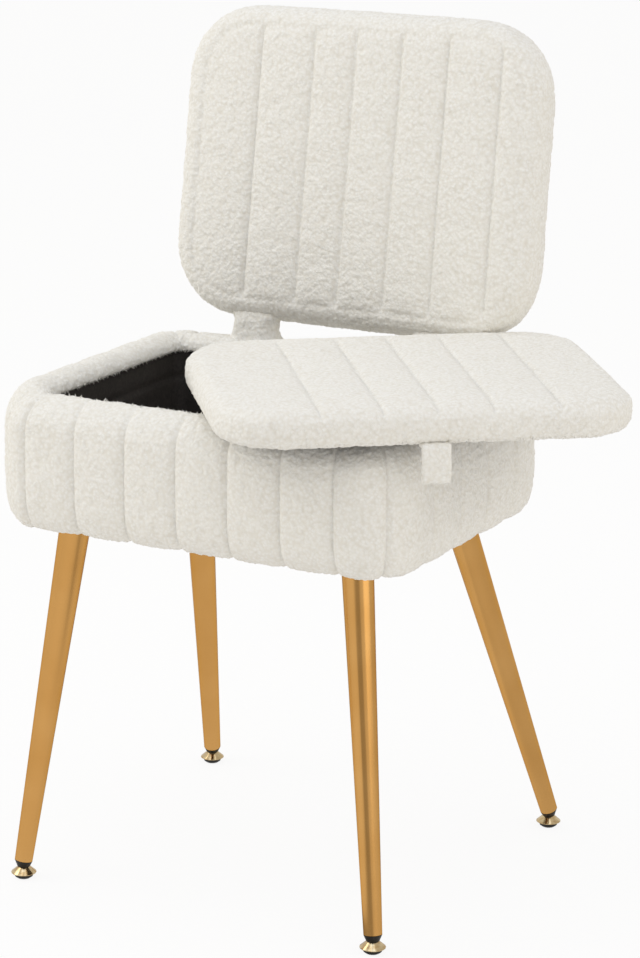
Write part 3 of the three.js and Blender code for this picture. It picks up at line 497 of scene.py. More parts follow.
class Workshop:
    """Makes mesh objects from points in millimetres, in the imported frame, and dresses them."""

    CLOTH_FRAMES = 20

    def __init__(self) -> None:
        """Finds where the stool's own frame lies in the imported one."""
        low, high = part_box("base_board")
        self.origin = np.array([(low.x + high.x) / 2, (low.y + high.y) / 2, 0.0])

    def points_in(self, points_mm: Points) -> Points:
        """Millimetres in the stool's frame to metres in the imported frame."""
        return points_mm * MM + self.origin

    def points_out(self, points_m: Points) -> Points:
        """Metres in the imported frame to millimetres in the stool's frame."""
        return (points_m - self.origin) / MM

    def mesh_object(self, name: str, points_mm: Points, faces: Faces) -> Piece:
        """Makes a mesh object.

        Args:
            name: the object's name.
            points_mm: points in the stool's frame.
            faces: vertex numbers of each face.

        Returns:
            The object, linked to the scene.
        """
        mesh = bpy.data.meshes.new(name)
        mesh.from_pydata(self.points_in(points_mm).tolist(), [], faces)
        mesh.update()
        made = bpy.data.objects.new(name, mesh)
        bpy.context.scene.collection.objects.link(made)
        return made

    def read(self, piece: Piece) -> tuple[Points, Points]:
        """Reads a mesh object's points, in the stool's frame, and its unit normals.

        Args:
            piece: the mesh object.

        Returns:
            The points and the normals, each n by 3.
        """
        count = len(piece.data.vertices)
        points = np.empty(count * 3, np.float32)
        piece.data.vertices.foreach_get("co", points)
        normals = np.empty(count * 3, np.float32)
        piece.data.vertex_normals.foreach_get("vector", normals)
        points, normals = (flat.reshape(-1, 3).astype(float) for flat in (points, normals))
        return self.points_out(points), normals

    def write(self, piece: Piece, points_mm: Points) -> None:
        """Puts new points, in the stool's frame, into a mesh object."""
        piece.data.vertices.foreach_set("co", self.points_in(points_mm).astype(np.float32).ravel())
        piece.data.update()

    def apply_modifiers(self, piece: Piece) -> None:
        """Makes what a piece's modifiers show its own mesh.

        Args:
            piece: the mesh object.
        """
        shown = piece.evaluated_get(bpy.context.evaluated_depsgraph_get())
        mesh = bpy.data.meshes.new_from_object(shown)
        piece.modifiers.clear()
        old, piece.data = piece.data, mesh
        bpy.data.meshes.remove(old)

    def remesh(self, piece: Piece, voxel_mm: float) -> None:
        """Remeshes a closed piece with even square faces.

        Args:
            piece: the mesh object.
            voxel_mm: about the side of a face.
        """
        remesher = piece.modifiers.new("even_faces", "REMESH")
        remesher.mode = "VOXEL"
        remesher.voxel_size = voxel_mm * MM
        self.apply_modifiers(piece)

    def subdivide(self, piece: Piece, levels: int) -> None:
        """Subdivides a piece smoothly.

        Args:
            piece: the mesh object.
            levels: how often.
        """
        smoother = piece.modifiers.new("finer_faces", "SUBSURF")
        smoother.levels = smoother.render_levels = levels
        self.apply_modifiers(piece)

    def inflate(self, piece: Piece, held: np.ndarray, pressure: float, cap_mm: float) -> None:
        """Swells a closed piece by cloth simulation, with some of its points held.

        Args:
            piece: a closed mesh object.
            held: how firmly each point is held, from 0 to 1.
            pressure: the air pressure inside.
            cap_mm: the most that a point may move.
        """
        group = piece.vertex_groups.new(name="held")
        for share in np.unique(np.round(held, 2)):
            if share > 0:
                group.add(np.flatnonzero(np.round(held, 2) == share).tolist(), float(share), "REPLACE")
        rest, _ = self.read(piece)
        cloth = piece.modifiers.new("swelling", "CLOTH")
        cloth.settings.use_pressure = True
        cloth.settings.uniform_pressure_force = pressure
        cloth.settings.effector_weights.gravity = 0
        cloth.settings.vertex_group_mass = "held"
        cloth.point_cache.frame_start, cloth.point_cache.frame_end = 1, self.CLOTH_FRAMES
        scene = bpy.context.scene
        for frame_number in range(1, self.CLOTH_FRAMES + 1):
            scene.frame_set(frame_number)
            piece.evaluated_get(bpy.context.evaluated_depsgraph_get())
        self.apply_modifiers(piece)
        scene.frame_set(1)
        piece.vertex_groups.clear()
        moved, _ = self.read(piece)
        step = moved - rest
        far = np.linalg.norm(step, axis=1)
        LOG.info("%s swelled by %.2f mm at most", piece.name, far.max())
        step *= (np.minimum(far, cap_mm) / np.maximum(far, 1e-9))[:, None]
        self.write(piece, rest + step)

    def finish_piece(self, piece: Piece, finish: Finish, body: str,
                     nodes: Sequence[str]) -> Piece:
        """Dresses a finished piece and puts it on its body.

        Args:
            piece: the mesh object.
            finish: its surface finish.
            body: the body that it rides on.
            nodes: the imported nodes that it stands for.

        Returns:
            The piece.
        """
        piece.data.materials.clear()
        piece.data.materials.append(finish.material())
        piece.data.shade_smooth()
        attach(piece, body)
        if nodes:
            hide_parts(*nodes)
        LOG.info("%s: %d points on %s, for %s", piece.name, len(piece.data.vertices), body, list(nodes))
        return piece


# Patterns in space

# How far a curl reaches from its tip, in cells and squared
CURL_REACH = 0.75


def lattice_share(cells: np.ndarray, salt: int) -> np.ndarray:
    """An even, repeatable number from 0 to 1 for each lattice cell.

    Args:
        cells: whole-number cell places, n by 3.
        salt: picks one of many such patterns.

    Returns:
        One number for each cell.
    """
    word = (cells[..., 0] * 73856093) ^ (cells[..., 1] * 19349663) ^ (cells[..., 2] * 83492791)
    word = (word ^ (salt * 2654435761)) & 0xFFFFFFFF
    for mixer in (2246822519, 3266489917):
        word = ((word ^ (word >> 15)) * mixer) & 0xFFFFFFFF
    return ((word >> 8) & 0xFFFF) / 65535.0


def soft_noise(points: Points, size: float, salt: int) -> np.ndarray:
    """Smooth noise from 0 to 1 with features about size wide.

    Args:
        points: places, n by 3.
        size: the width of a lattice cell in the same units.
        salt: picks the pattern.

    Returns:
        The noise at each point.
    """
    where = points / size
    low = np.floor(where).astype(np.int64)
    part = where - low
    part = part * part * (3 - 2 * part)
    total = np.zeros(len(points))
    for corner in np.ndindex(2, 2, 2):
        weight = np.prod([part[:, k] if corner[k] else 1 - part[:, k] for k in range(3)], axis=0)
        total += weight * lattice_share(low + np.array(corner), salt)
    return total


def curl_domes(points: Points, size: float, salt: int) -> np.ndarray:
    """Rounded bumps packed like curls: 1 at a curl's tip and 0 in the valleys between.

    Args:
        points: places, n by 3.
        size: the mean width of a curl in the same units.
        salt: picks the pattern.

    Returns:
        The height at each point, from 0 to 1.
    """
    where = points / size
    low = np.floor(where).astype(np.int64)
    nearest = np.full(len(points), 9.0)
    for step in np.ndindex(3, 3, 3):
        cell = low + np.array(step) - 1
        tip = cell + np.stack([lattice_share(cell, salt + k) for k in range(3)], axis=-1)
        nearest = np.minimum(nearest, ((where - tip) ** 2).sum(axis=1))
    return np.clip(1 - nearest / CURL_REACH, 0, 1)


def eased(value: np.ndarray, low: float, high: float) -> np.ndarray:
    """0 up to low, 1 from high, and a smooth rise between them."""
    share = np.clip((value - low) / (high - low), 0, 1)
    return share * share * (3 - 2 * share)


def crease(distance: np.ndarray, width: float) -> np.ndarray:
    """1 on a sewn line, falling off smoothly over width to both sides."""
    return np.exp(-(distance / width) ** 2)


@dataclass(frozen=True)
class PileRelief:
    """Relief of the curly pile on a cushion's surface, in millimetres."""

    curl_size: float = 4.3
    curl_height: float = 0.9
    tuft_size: float = 2.6
    tuft_height: float = 0.9
    lean_size: float = 13.0
    lean_height: float = 0.45
    proud: float = 0.7
    share: float = 1.0

    CURL_SALT, TUFT_SALT, LEAN_SALT = 11, 29, 47
    # Middle of a curl's height, and the steepness and middle of a tuft's
    CURL_MIDDLE, TUFT_POWER, TUFT_MIDDLE = 0.5, 1.5, 0.35

    def height(self, points: Points) -> np.ndarray:
        """Works out how far the pile stands out, about proud on average.

        Args:
            points: places in the stool's frame or a local one.

        Returns:
            The height at each point.
        """
        curls = curl_domes(points, self.curl_size, self.CURL_SALT) - self.CURL_MIDDLE
        tufts = curl_domes(points, self.tuft_size, self.TUFT_SALT) ** self.TUFT_POWER - self.TUFT_MIDDLE
        lean = soft_noise(points, self.lean_size, self.LEAN_SALT) - 0.5
        raised = self.curl_height * curls + self.tuft_height * tufts + 2 * self.lean_height * lean
        return self.share * (self.proud + raised)


# Outlines and lofts


def side_counts(half_u: float, half_v: float, radius: float, step: float) -> tuple[int, int]:
    """How many segments of about step fit on a rounded rectangle's upright and level sides."""
    return max(1, round(2 * (half_v - radius) / step)), max(1, round(2 * (half_u - radius) / step))


def rounded_outline(half_u: float, half_v: float, radius: float, corner_steps: int,
                    counts: tuple[int, int]) -> tuple[Points, Points]:
    """A rounded rectangle as a closed row of points.

    Args:
        half_u: half its width.
        half_v: half its height.
        radius: its corner radius.
        corner_steps: segments in each corner.
        counts: segments on an upright side and on a level one.

    Returns:
        The points and the outward normals, each n by 2.
    """
    places, normals = [], []
    for quarter, (su, sv) in enumerate([(1, -1), (1, 1), (-1, 1), (-1, -1)]):
        centre = np.array([su * (half_u - radius), sv * (half_v - radius)])
        for step in range(corner_steps + 1):
            angle = (quarter - 1 + step / corner_steps) * math.pi / 2
            normal = np.array([math.cos(angle), math.sin(angle)])
            places.append(centre + radius * normal)
            normals.append(normal)
        run = 2 * (half_v - radius) if quarter % 2 == 0 else 2 * (half_u - radius)
        along = np.array([-normals[-1][1], normals[-1][0]])
        count = counts[quarter % 2]
        for _ in range(1, count):
            places.append(places[-1] + along * run / count)
            normals.append(normals[-1])
    return np.array(places), np.array(normals)


def inside_distance(points: Points, half_u: float, half_v: float, radius: float) -> np.ndarray:
    """Measures how far inside a rounded rectangle each point is.

    Args:
        points: places whose first two numbers run across and up it.
        half_u: half its width.
        half_v: half its height.
        radius: its corner radius.

    Returns:
        The distances, below zero outside.
    """
    du, dv = np.abs(points[:, 0]) - (half_u - radius), np.abs(points[:, 1]) - (half_v - radius)
    outside = np.hypot(np.maximum(du, 0), np.maximum(dv, 0)) + np.minimum(np.maximum(du, dv), 0)
    return radius - outside


def loft(rings: Sequence[Points]) -> tuple[Points, Faces]:
    """Joins rings of equal length into a closed solid with flat ends.

    Args:
        rings: closed rows of points, each n by 3.

    Returns:
        Points and faces.
    """
    count = len(rings[0])
    faces = []
    for r in range(len(rings) - 1):
        for i in range(count):
            j = (i + 1) % count
            faces.append((r * count + i, r * count + j, (r + 1) * count + j, (r + 1) * count + i))
    faces.append(tuple(range(count))[::-1])
    faces.append(tuple((len(rings) - 1) * count + i for i in range(count)))
    return np.concatenate(rings), faces


def ring_grid_faces(around: int, along: int) -> Faces:
    """Makes the faces of a grid that closes on itself both ways.

    Args:
        around: how many rows it has.
        along: how many points a row has.

    Returns:
        The faces.
    """
    faces = []
    for i in range(around):
        a, b = i * along, ((i + 1) % around) * along
        for k in range(along):
            n = (k + 1) % along
            faces.append((a + k, b + k, b + n, a + n))
    return faces


def refined(grid: np.ndarray, factor: int, axis: int) -> np.ndarray:
    """A grid that closes on itself, made finer along one axis by a smooth curve through its points.

    Args:
        grid: the points, around by along by 3.
        factor: new points for each old one.
        axis: 0 or 1.

    Returns:
        The finer grid.
    """
    before, after, second = (np.roll(grid, n, axis) for n in (1, -1, -2))
    parts = []
    for step in range(factor):
        t = step / factor
        parts.append(0.5 * (2 * grid + (after - before) * t
                            + (2 * before - 5 * grid + 4 * after - second) * t ** 2
                            + (3 * grid - before - 3 * after + second) * t ** 3))
    mixed = np.stack(parts, axis + 1)
    shape = list(grid.shape)
    shape[axis] *= factor
    return mixed.reshape(shape)


# Cushions

# Half the width that a row of stitches presses the pile flat, and how flat
PRESSED_REACH, PRESSED_SHARE = 2.6, 0.55
# Width of a channel on the box's front
CHANNEL_PITCH = 48.3


@dataclass
class ChannelledCushion:
    """A padded cushion with upright sewn channels in a plain border, in a frame whose U runs across,
    V along the channels and W out of the channelled face, which lies at W zero."""

    name: str
    half_u: float
    half_v: float
    radius: float
    thickness: float
    border: float
    edge_radius: float
    crown: float
    seams: tuple[float, ...]
    place: Place
    body: str
    stands_for: tuple[str, ...]
    base_radius: float = 4.0
    start_inset: float = 2.2
    swell_cap: float = 4.0
    pressure: float = 9.0
    seam_fade: float = 6.0
    welt_depth: float = 1.6
    relief: PileRelief = field(default_factory=PileRelief)
    pillow: float = 2.5
    groove: float = 1.6
    groove_width: float = 2.1
    base_recess: float = 1.5
    base_reach: float = 5.5
    face_rise: float = 0.0
    panel_shift: float = 0.0
    splay: float = 0.0
    tilt: float = 0.0
    face_relief: float = 1.0
    seam_reach: float = 0.0
    fan: float = 0.0
    voxel: float = 6.2

    # Segments of the coarse outline: their length, and how many round a corner
    COARSE_STEP = 12.0
    CORNER_STEPS = 10
    # Half the width that a row of stitches holds while the cushion swells
    HELD_REACH = 3.2
    # Unit normal along W above which a point can be sewn down, and below which it lies on the base
    SEWN_ABOVE, BASE_BELOW = 0.6, -0.5
    # Share of a unit normal along W at which the face starts, and from which it counts in full
    FACE_FROM, FACE_FULL = 0.35, 0.75
    BASE_FROM, BASE_FULL = 0.3, 0.7
    # Where the seams start to run out towards the front edge, and where they do so in full
    REACH_FROM, REACH_FULL = 0.0, 60.0

    def outline_ring(self, inset: float, least_radius: float) -> Points:
        """Lays out the cushion's outline, moved in, as a closed row of points.

        Args:
            inset: how far it is moved in.
            least_radius: the least corner radius.

        Returns:
            The points, n by 2.
        """
        counts = side_counts(self.half_u, self.half_v, self.radius, self.COARSE_STEP)
        return rounded_outline(self.half_u - inset, self.half_v - inset,
                               max(self.radius - inset, least_radius), self.CORNER_STEPS, counts)[0]

    def depth(self, local: Points) -> np.ndarray:
        """How far inside the cushion's outline each point is."""
        return inside_distance(local, self.half_u, self.half_v, self.radius)

    def section(self) -> list[tuple[float, float]]:
        """Lays out the starting shape's rings, from the face's middle to the base.

        Returns:
            Each ring's inset and W.
        """
        start, edge, base = self.start_inset, self.edge_radius, self.base_radius
        top = self.face_rise - start
        rows = [(edge * 2.4, top), (edge * 1.5, top)]
        for step in range(5):
            angle = math.pi / 2 * step / 4
            rows.append((start + edge * (1 - math.sin(angle)), top - edge * (1 - math.cos(angle))))
        rows.append((start, -self.thickness + base))
        rows.append((start + base * 0.3, -self.thickness + base * 0.3))
        rows.append((start + base, -self.thickness))
        return rows

    def starting_solid(self) -> tuple[Points, Faces]:
        """Makes the slightly slack closed form that is swollen into the cushion.

        Returns:
            Points and faces.
        """
        rings = []
        for inset, w in self.section():
            outline = self.outline_ring(inset, 8.0)
            levels = np.full(len(outline), w)
            if w > -self.edge_radius:
                bow = self.crown * (1 - (outline[:, 0] / self.half_u) ** 2) * (
                    1 - (outline[:, 1] / self.half_v) ** 2)
                levels = levels + bow - self.crown
            rings.append(np.column_stack([outline, levels]))
        return loft(rings)

    def facing(self, normals: Points) -> np.ndarray:
        """How much a point belongs to the channelled face, from its local normal."""
        return eased(normals[:, 2], self.FACE_FROM, self.FACE_FULL)

    def across(self, local: Points) -> np.ndarray:
        """Each point's place across the channels, where they spread a little towards the rear."""
        return local[:, 0] - self.fan * local[:, 1] / self.half_v

    def seam_start(self, local: Points) -> np.ndarray:
        """How far inside the outline the seams start: at the border, or nearer the edge at the front."""
        return self.border - self.seam_reach * eased(-local[:, 1], self.REACH_FROM, self.REACH_FULL)

    def seam_distance(self, local: Points) -> np.ndarray:
        """How far each point is from the nearest channel seam."""
        return np.min(np.abs(self.across(local)[:, None] - np.array(self.seams)[None, :]), axis=1)

    def panel_depth(self, local: Points) -> np.ndarray:
        """How far inside the cushion's outline each point is, moved across with the sewn panel."""
        return self.depth(local - np.array([self.panel_shift, 0.0, 0.0]))

    def fullness(self, local: Points) -> np.ndarray:
        """Works out how full the channel is: 0 on a seam and 1 midway.

        Args:
            local: points in the cushion's frame.

        Returns:
            The fullness at each point.
        """
        u = self.across(local)
        edge = self.half_u - self.border + self.seam_reach
        lines = np.array([-edge + self.panel_shift, *self.seams, edge + self.panel_shift])
        left = np.clip(np.searchsorted(lines, u) - 1, 0, len(lines) - 2)
        share = np.clip((u - lines[left]) / (lines[left + 1] - lines[left]), 0, 1)
        return np.sqrt(np.sin(share * math.pi).clip(0, 1))

    def sewing(self, local: Points, normals: Points) -> np.ndarray:
        """Works out how deep the sewing pulls the cloth in.

        Args:
            local: points in the cushion's frame.
            normals: their unit normals in it.

        Returns:
            The depth at each point, in millimetres.
        """
        face = self.facing(normals)
        depth_in = self.panel_depth(local)
        panel = eased(depth_in - self.seam_start(local), -1, self.seam_fade)
        gap = self.seam_distance(local)
        pulled = self.pillow * (1 - self.fullness(local)) + self.groove * crease(gap, self.groove_width)
        welt = self.welt_depth * crease(depth_in - self.border, self.groove_width * 1.3)
        return face * (panel * pulled + welt)

    def flattened(self, local: Points, normals: Points) -> np.ndarray:
        """Works out how much of the pile's relief stays: less where stitches press it down.

        Args:
            local: points in the cushion's frame.
            normals: their unit normals in it.

        Returns:
            The share at each point.
        """
        sewn_in = self.panel_depth(local) > self.seam_start(local)
        pressed = crease(self.seam_distance(local), PRESSED_REACH) * sewn_in
        face = self.facing(normals)
        return (1 - PRESSED_SHARE * face * pressed) * (1 - (1 - self.face_relief) * face)

    def build(self, shop: Workshop) -> Piece:
        """Makes the cushion.

        Args:
            shop: the maker of mesh objects.

        Returns:
            The finished piece.
        """
        points, faces = self.starting_solid()
        piece = shop.mesh_object(self.name, self.place.out(points), faces)
        piece.data.flip_normals()
        self.make_even(shop, piece)
        self.swell(shop, piece)
        shop.subdivide(piece, 2)
        world, world_normals = shop.read(piece)
        local, normals = self.place.back(world), world_normals @ self.place.turn
        base = self.at_base(local, normals)
        out = self.relief.height(local) * self.flattened(local, normals)
        out = (out - self.sewing(local, normals)) * (1 - base)
        out -= self.base_recess * base
        local += normals * out[:, None]
        rise = local[:, 1] / self.half_v
        local[:, 0] -= self.splay * rise * np.maximum(local[:, 0], 0) / self.half_u
        local[:, 2] += self.tilt * rise
        shop.write(piece, self.place.out(local))
        shop.finish_piece(piece, PILE, self.body, self.stands_for)
        return piece

    def make_even(self, shop: Workshop, piece: Piece) -> None:
        """Remeshes the start with faces square to the channels, by turning it upright for a moment.

        Args:
            shop: the maker of mesh objects.
            piece: the cushion's starting shape.
        """
        world, _ = shop.read(piece)
        shop.write(piece, self.place.back(world))
        shop.remesh(piece, self.voxel)
        local, _ = shop.read(piece)
        shop.write(piece, self.place.out(local))

    def swell(self, shop: Workshop, piece: Piece) -> None:
        """Swells the channels between their held seams.

        Args:
            shop: the maker of mesh objects.
            piece: the even starting shape.
        """
        world, world_normals = shop.read(piece)
        local, normals = self.place.back(world), world_normals @ self.place.turn
        face = normals[:, 2] > self.SEWN_ABOVE
        depth_in = self.panel_depth(local)
        sewn = face & (self.seam_distance(local) < self.HELD_REACH) & (depth_in > self.seam_start(local))
        sewn |= face & (np.abs(depth_in - self.border) < self.HELD_REACH)
        sewn |= normals[:, 2] < self.BASE_BELOW
        shop.inflate(piece, sewn.astype(float), self.pressure, self.swell_cap)

    def at_base(self, local: Points, normals: Points) -> np.ndarray:
        """How much each point belongs to the cushion's flat base, inside its rolled edge."""
        inner = eased(self.depth(local), self.base_reach, self.base_reach + 3)
        return inner * eased(-normals[:, 2], self.BASE_FROM, self.BASE_FULL)


def seam_row(pitch: float, each_side: int) -> tuple[float, ...]:
    """Seams at an even pitch on both sides of a middle one."""
    return tuple(pitch * n for n in range(-each_side, each_side + 1))


# The backrest: its lean in degrees, its height along it, and its front face's lower middle
BACKREST_LEAN = 9.3
BACKREST_HEIGHT = 276.0
BACKREST_FOOT = (-1.5, 118.0, 452.8)
# The lid: half its sides, its corner radius, its thickness, and how far its rear edge stands up
LID_HALF_U, LID_HALF_V, LID_RADIUS = 167.5, 128.5, 52.0
LID_THICKNESS = 29.5
LID_TILT = 1.8
# Its top face's middle where it lies square, the upright line it turns about, and its turn in degrees
LID_SQUARE = (0.0, -16.0, 431.3 + LID_THICKNESS)
LID_POLE = (84.3, 179.2, 0.0)
LID_YAW = 38.0
# Height to which the lid presses the rim's pile
REST_LEVEL = 431.0


def backrest_place() -> Place:
    """Finds the leaning frame of the backrest: U across, V up along it, W out of its front face.

    Returns:
        The frame, about the middle of the front face.
    """
    lean = math.radians(BACKREST_LEAN)
    across = np.array([1.0, 0.0, 0.0])
    rise = np.array([0.0, math.sin(lean), math.cos(lean)])
    front = np.array([0.0, -math.cos(lean), math.sin(lean)])
    turn = np.column_stack([across, rise, front])
    return Place(turn, np.array(BACKREST_FOOT) + rise * BACKREST_HEIGHT / 2)


def lid_place() -> Place:
    """Finds the frame of the lid where it lies askew: U across, V to the back, W up from its top face.

    Returns:
        The frame: the lid's square place, turned about its pole.
    """
    yaw = math.radians(LID_YAW)
    turn = np.array([[math.cos(yaw), -math.sin(yaw), 0], [math.sin(yaw), math.cos(yaw), 0], [0, 0, 1.0]])
    pole, square = np.array(LID_POLE), np.array(LID_SQUARE)
    return Place(turn, pole + turn @ (square - pole))


# Storage box cover


@dataclass
class BoxCover:
    """The channelled cover of the storage box: one padded section that runs round the wall, over the
    rolled rim and down inside."""

    half_x: float = 190.0
    half_y: float = 144.5
    radius: float = 44.0
    base: float = 316.0
    pitch: float = CHANNEL_PITCH
    front_shift: float = -9.8
    front_count: int = 7
    side_pitch: float = 50.0
    side_count: int = 4
    cell: float = 7.0
    refine: int = 4
    swell_cap: float = 3.0
    pressure: float = 9.0
    pillow: float = 2.3
    groove: float = 1.7
    groove_width: float = 2.3
    front_drop: float = 10.0
    relief: PileRelief = field(default_factory=PileRelief)

    # Heights and distances to the front between which the rim's front is lowered
    DROP_HEIGHTS = (396.0, 430.0)
    DROP_FRONTS = (96.0, 136.0)
    # Corner of the pressed patch under the lid, and how far outside and inside its edge the press grows
    LID_CORNER = 44.0
    LID_PRESS = (-2.0, 5.0)
    # First row of the section that lies out of sight
    HIDDEN_ROW = 24
    # Inset from the outside of the cloth, height above the lowest cloth, share of the seams' depth, held
    SECTION = (
        (24.0, -0.2, 0.0, 1), (17.0, -1.0, 0.3, 1), (10.4, -0.5, 0.7, 0), (5.2, 3.4, 1.0, 0),
        (1.6, 9.8, 1.0, 0), (-0.6, 17.4, 1.0, 0), (-1.9, 26.0, 1.0, 0), (-2.3, 34.0, 1.0, 0),
        (-2.5, 42.0, 1.0, 0), (-2.5, 50.0, 1.0, 0), (-2.5, 58.0, 1.0, 0), (-2.4, 66.0, 1.0, 0),
        (-2.2, 74.0, 1.0, 0), (-1.9, 82.0, 1.0, 0), (-1.2, 90.0, 1.0, 0), (0.1, 98.5, 1.0, 0),
        (2.8, 106.2, 0.95, 0), (7.2, 112.0, 0.8, 0), (13.0, 115.8, 0.6, 0), (19.5, 117.2, 0.4, 0),
        (25.8, 116.4, 0.2, 0), (31.0, 113.6, 0.08, 0), (34.8, 109.6, 0.0, 0), (35.8, 104.8, 0.0, 1),
        (31.5, 104.3, 0.0, 1), (31.1, 106.6, 0.0, 1), (26.0, 107.0, 0.0, 1), (21.0, 104.0, 0.0, 1),
        (21.2, 80.0, 0.0, 1), (21.2, 55.0, 0.0, 1), (21.2, 30.0, 0.0, 1), (22.5, 6.2, 0.0, 1),
    )

    def straights(self) -> tuple[float, float, float]:
        """Half the straight run of the front, of a side, and the length of a corner."""
        return self.half_x - self.radius, self.half_y - self.radius, self.radius * math.pi / 2

    def round_total(self) -> float:
        """The outline's whole length."""
        run_x, run_y, arc = self.straights()
        return 4 * (run_x + run_y + arc)

    def seams(self) -> list[float]:
        """Places the channel seams along the outline.

        Returns:
            Their distances from the middle of the front, in order.
        """
        run_x, run_y, arc = self.straights()
        total = self.round_total()

        def row(middle: float, pitch: float, count: int) -> list[float]:
            """Seams at an even pitch about a middle."""
            return [middle + (i - (count - 1) / 2) * pitch for i in range(count)]

        side, back, corner = run_x + arc + run_y, total / 2, run_x + arc / 2
        found = row(self.front_shift, self.pitch, self.front_count) + [corner]
        found += row(side, self.side_pitch, self.side_count) + [back - corner]
        found += row(back, self.pitch, self.front_count) + [back + corner]
        found += row(total - side, self.side_pitch, self.side_count) + [total - corner]
        return sorted(s % total for s in found)

    def outline_at(self, along: np.ndarray) -> tuple[Points, Points]:
        """Points and outward normals on the outline.

        Args:
            along: distances along it from the middle of the front.

        Returns:
            Points and normals, each n by 2.
        """
        run_x, run_y, arc = self.straights()
        lengths = [run_x, arc, 2 * run_y, arc, 2 * run_x, arc, 2 * run_y, arc, run_x]
        starts = np.concatenate([[0], np.cumsum(lengths)])
        along = along % self.round_total()
        piece = np.clip(np.searchsorted(starts, along, side="right") - 1, 0, 8)
        rest = along - starts[piece]
        quarter = (piece + 1) // 2
        turned = np.where(piece % 2 == 1, (piece - 1) // 2 + rest / arc, quarter) * math.pi / 2
        normals = np.column_stack([np.sin(turned), -np.cos(turned)])
        corner = np.array([[run_x, -run_y], [run_x, run_y], [-run_x, run_y], [-run_x, -run_y]])
        ends = {0: (0.0, -self.half_y), 2: (self.half_x, -run_y), 4: (run_x, self.half_y),
                6: (-self.half_x, run_y), 8: (-run_x, -self.half_y)}
        places = np.zeros((len(along), 2))
        for number in range(9):
            here = piece == number
            if number % 2 == 1:
                places[here] = corner[(number - 1) // 2] + self.radius * normals[here]
            else:
                run = np.column_stack([-normals[here][:, 1], normals[here][:, 0]])
                places[here] = np.array(ends[number]) + run * rest[here][:, None]
        return places, normals

    def columns(self) -> np.ndarray:
        """Places the coarse grid's columns, one on every seam.

        Returns:
            Their distances along the outline.
        """
        seams, total = self.seams(), self.round_total()
        found = []
        for start, end in zip(seams, seams[1:] + [seams[0] + total]):
            count = max(2, round((end - start) / self.cell))
            found += [start + (end - start) * i / count for i in range(count)]
        return np.array(found)

    def fullness(self, along: np.ndarray) -> tuple[np.ndarray, np.ndarray]:
        """Works out how full a channel is along the outline.

        Args:
            along: distances along it.

        Returns:
            The fullness, and the distance to the nearest seam.
        """
        seams, total = np.array(self.seams()), self.round_total()
        edges = np.concatenate([seams, [seams[0] + total]])
        place = (along - seams[0]) % total + seams[0]
        left = np.clip(np.searchsorted(edges, place, side="right") - 1, 0, len(seams) - 1)
        width = edges[left + 1] - edges[left]
        share = (place - edges[left]) / width
        full = np.sqrt(np.clip(np.sin(share * math.pi), 0, 1))
        return full, np.minimum(share, 1 - share) * width

    def lowered(self, points: Points) -> np.ndarray:
        """How far the rim's front is pressed down at each point."""
        return self.front_drop * eased(points[:, 2], *self.DROP_HEIGHTS) * eased(
            -points[:, 1], *self.DROP_FRONTS)

    def build(self, shop: Workshop) -> Piece:
        """Makes the cover.

        Args:
            shop: the maker of mesh objects.

        Returns:
            The finished piece.
        """
        section = np.array(self.SECTION)
        columns = self.columns()
        places, normals = self.outline_at(columns)
        grid = np.zeros((len(columns), len(section), 3))
        grid[:, :, :2] = places[:, None, :] - normals[:, None, :] * section[None, :, 0, None]
        grid[:, :, 2] = self.base + section[None, :, 1]
        piece = shop.mesh_object("box_pile_cover", grid.reshape(-1, 3),
                                 ring_grid_faces(len(columns), len(section)))
        seams = self.fullness(columns)[1] < 0.5
        held = np.maximum(section[None, :, 3], seams[:, None] * (section[None, :, 2] > 0))
        shop.inflate(piece, held.ravel().astype(float), self.pressure, self.swell_cap)
        swollen, _ = shop.read(piece)
        fine = refined(refined(swollen.reshape(grid.shape), self.refine, 0), self.refine, 1)
        bpy.data.objects.remove(piece)
        piece = shop.mesh_object("box_pile_cover", fine.reshape(-1, 3),
                                 ring_grid_faces(fine.shape[0], fine.shape[1]))
        self.sew(shop, piece, columns, section, fine.shape)
        shop.finish_piece(piece, PILE, "stool", ["box_cover", "box_foam"])
        return piece

    def sew(self, shop: Workshop, piece: Piece, columns: np.ndarray, section: np.ndarray,
            shape: tuple) -> None:
        """Pulls the seams in and raises the pile.

        Args:
            shop: the maker of mesh objects.
            piece: the fine mesh.
            columns: distances of the coarse columns along the outline.
            section: the section's rows.
            shape: the fine grid's shape.
        """
        total = self.round_total()
        rounds = np.concatenate([columns, [columns[0] + total]])
        along = np.interp(np.arange(shape[0]) / self.refine, np.arange(len(rounds)), rounds)
        full, gap = self.fullness(along)
        rows = np.concatenate([section, section[:1]])
        steps = np.arange(shape[1]) / self.refine
        share = np.interp(steps, np.arange(len(rows)), rows[:, 2])
        hidden = np.interp(steps, np.arange(len(rows)), np.concatenate(
            [np.arange(len(section)) >= self.HIDDEN_ROW, [False]]).astype(float))
        pulled = self.pillow * (1 - full) + self.groove * crease(gap, self.groove_width)
        sewn = (pulled[:, None] * share[None, :]).ravel()
        world, normals = shop.read(piece)
        stitched = PRESSED_SHARE * crease(gap, PRESSED_REACH)
        out = self.relief.height(world) * (1 - (stitched[:, None] * share[None, :]).ravel()) - sewn
        out *= np.tile(1 - eased(hidden, 0.0, 0.8), shape[0])
        world += normals * out[:, None]
        world[:, 2] -= self.lowered(world)
        under_lid = inside_distance(lid_place().back(world), LID_HALF_U, LID_HALF_V, self.LID_CORNER)
        world[:, 2] -= eased(under_lid, *self.LID_PRESS) * np.maximum(world[:, 2] - REST_LEVEL, 0.0)
        shop.write(piece, world)


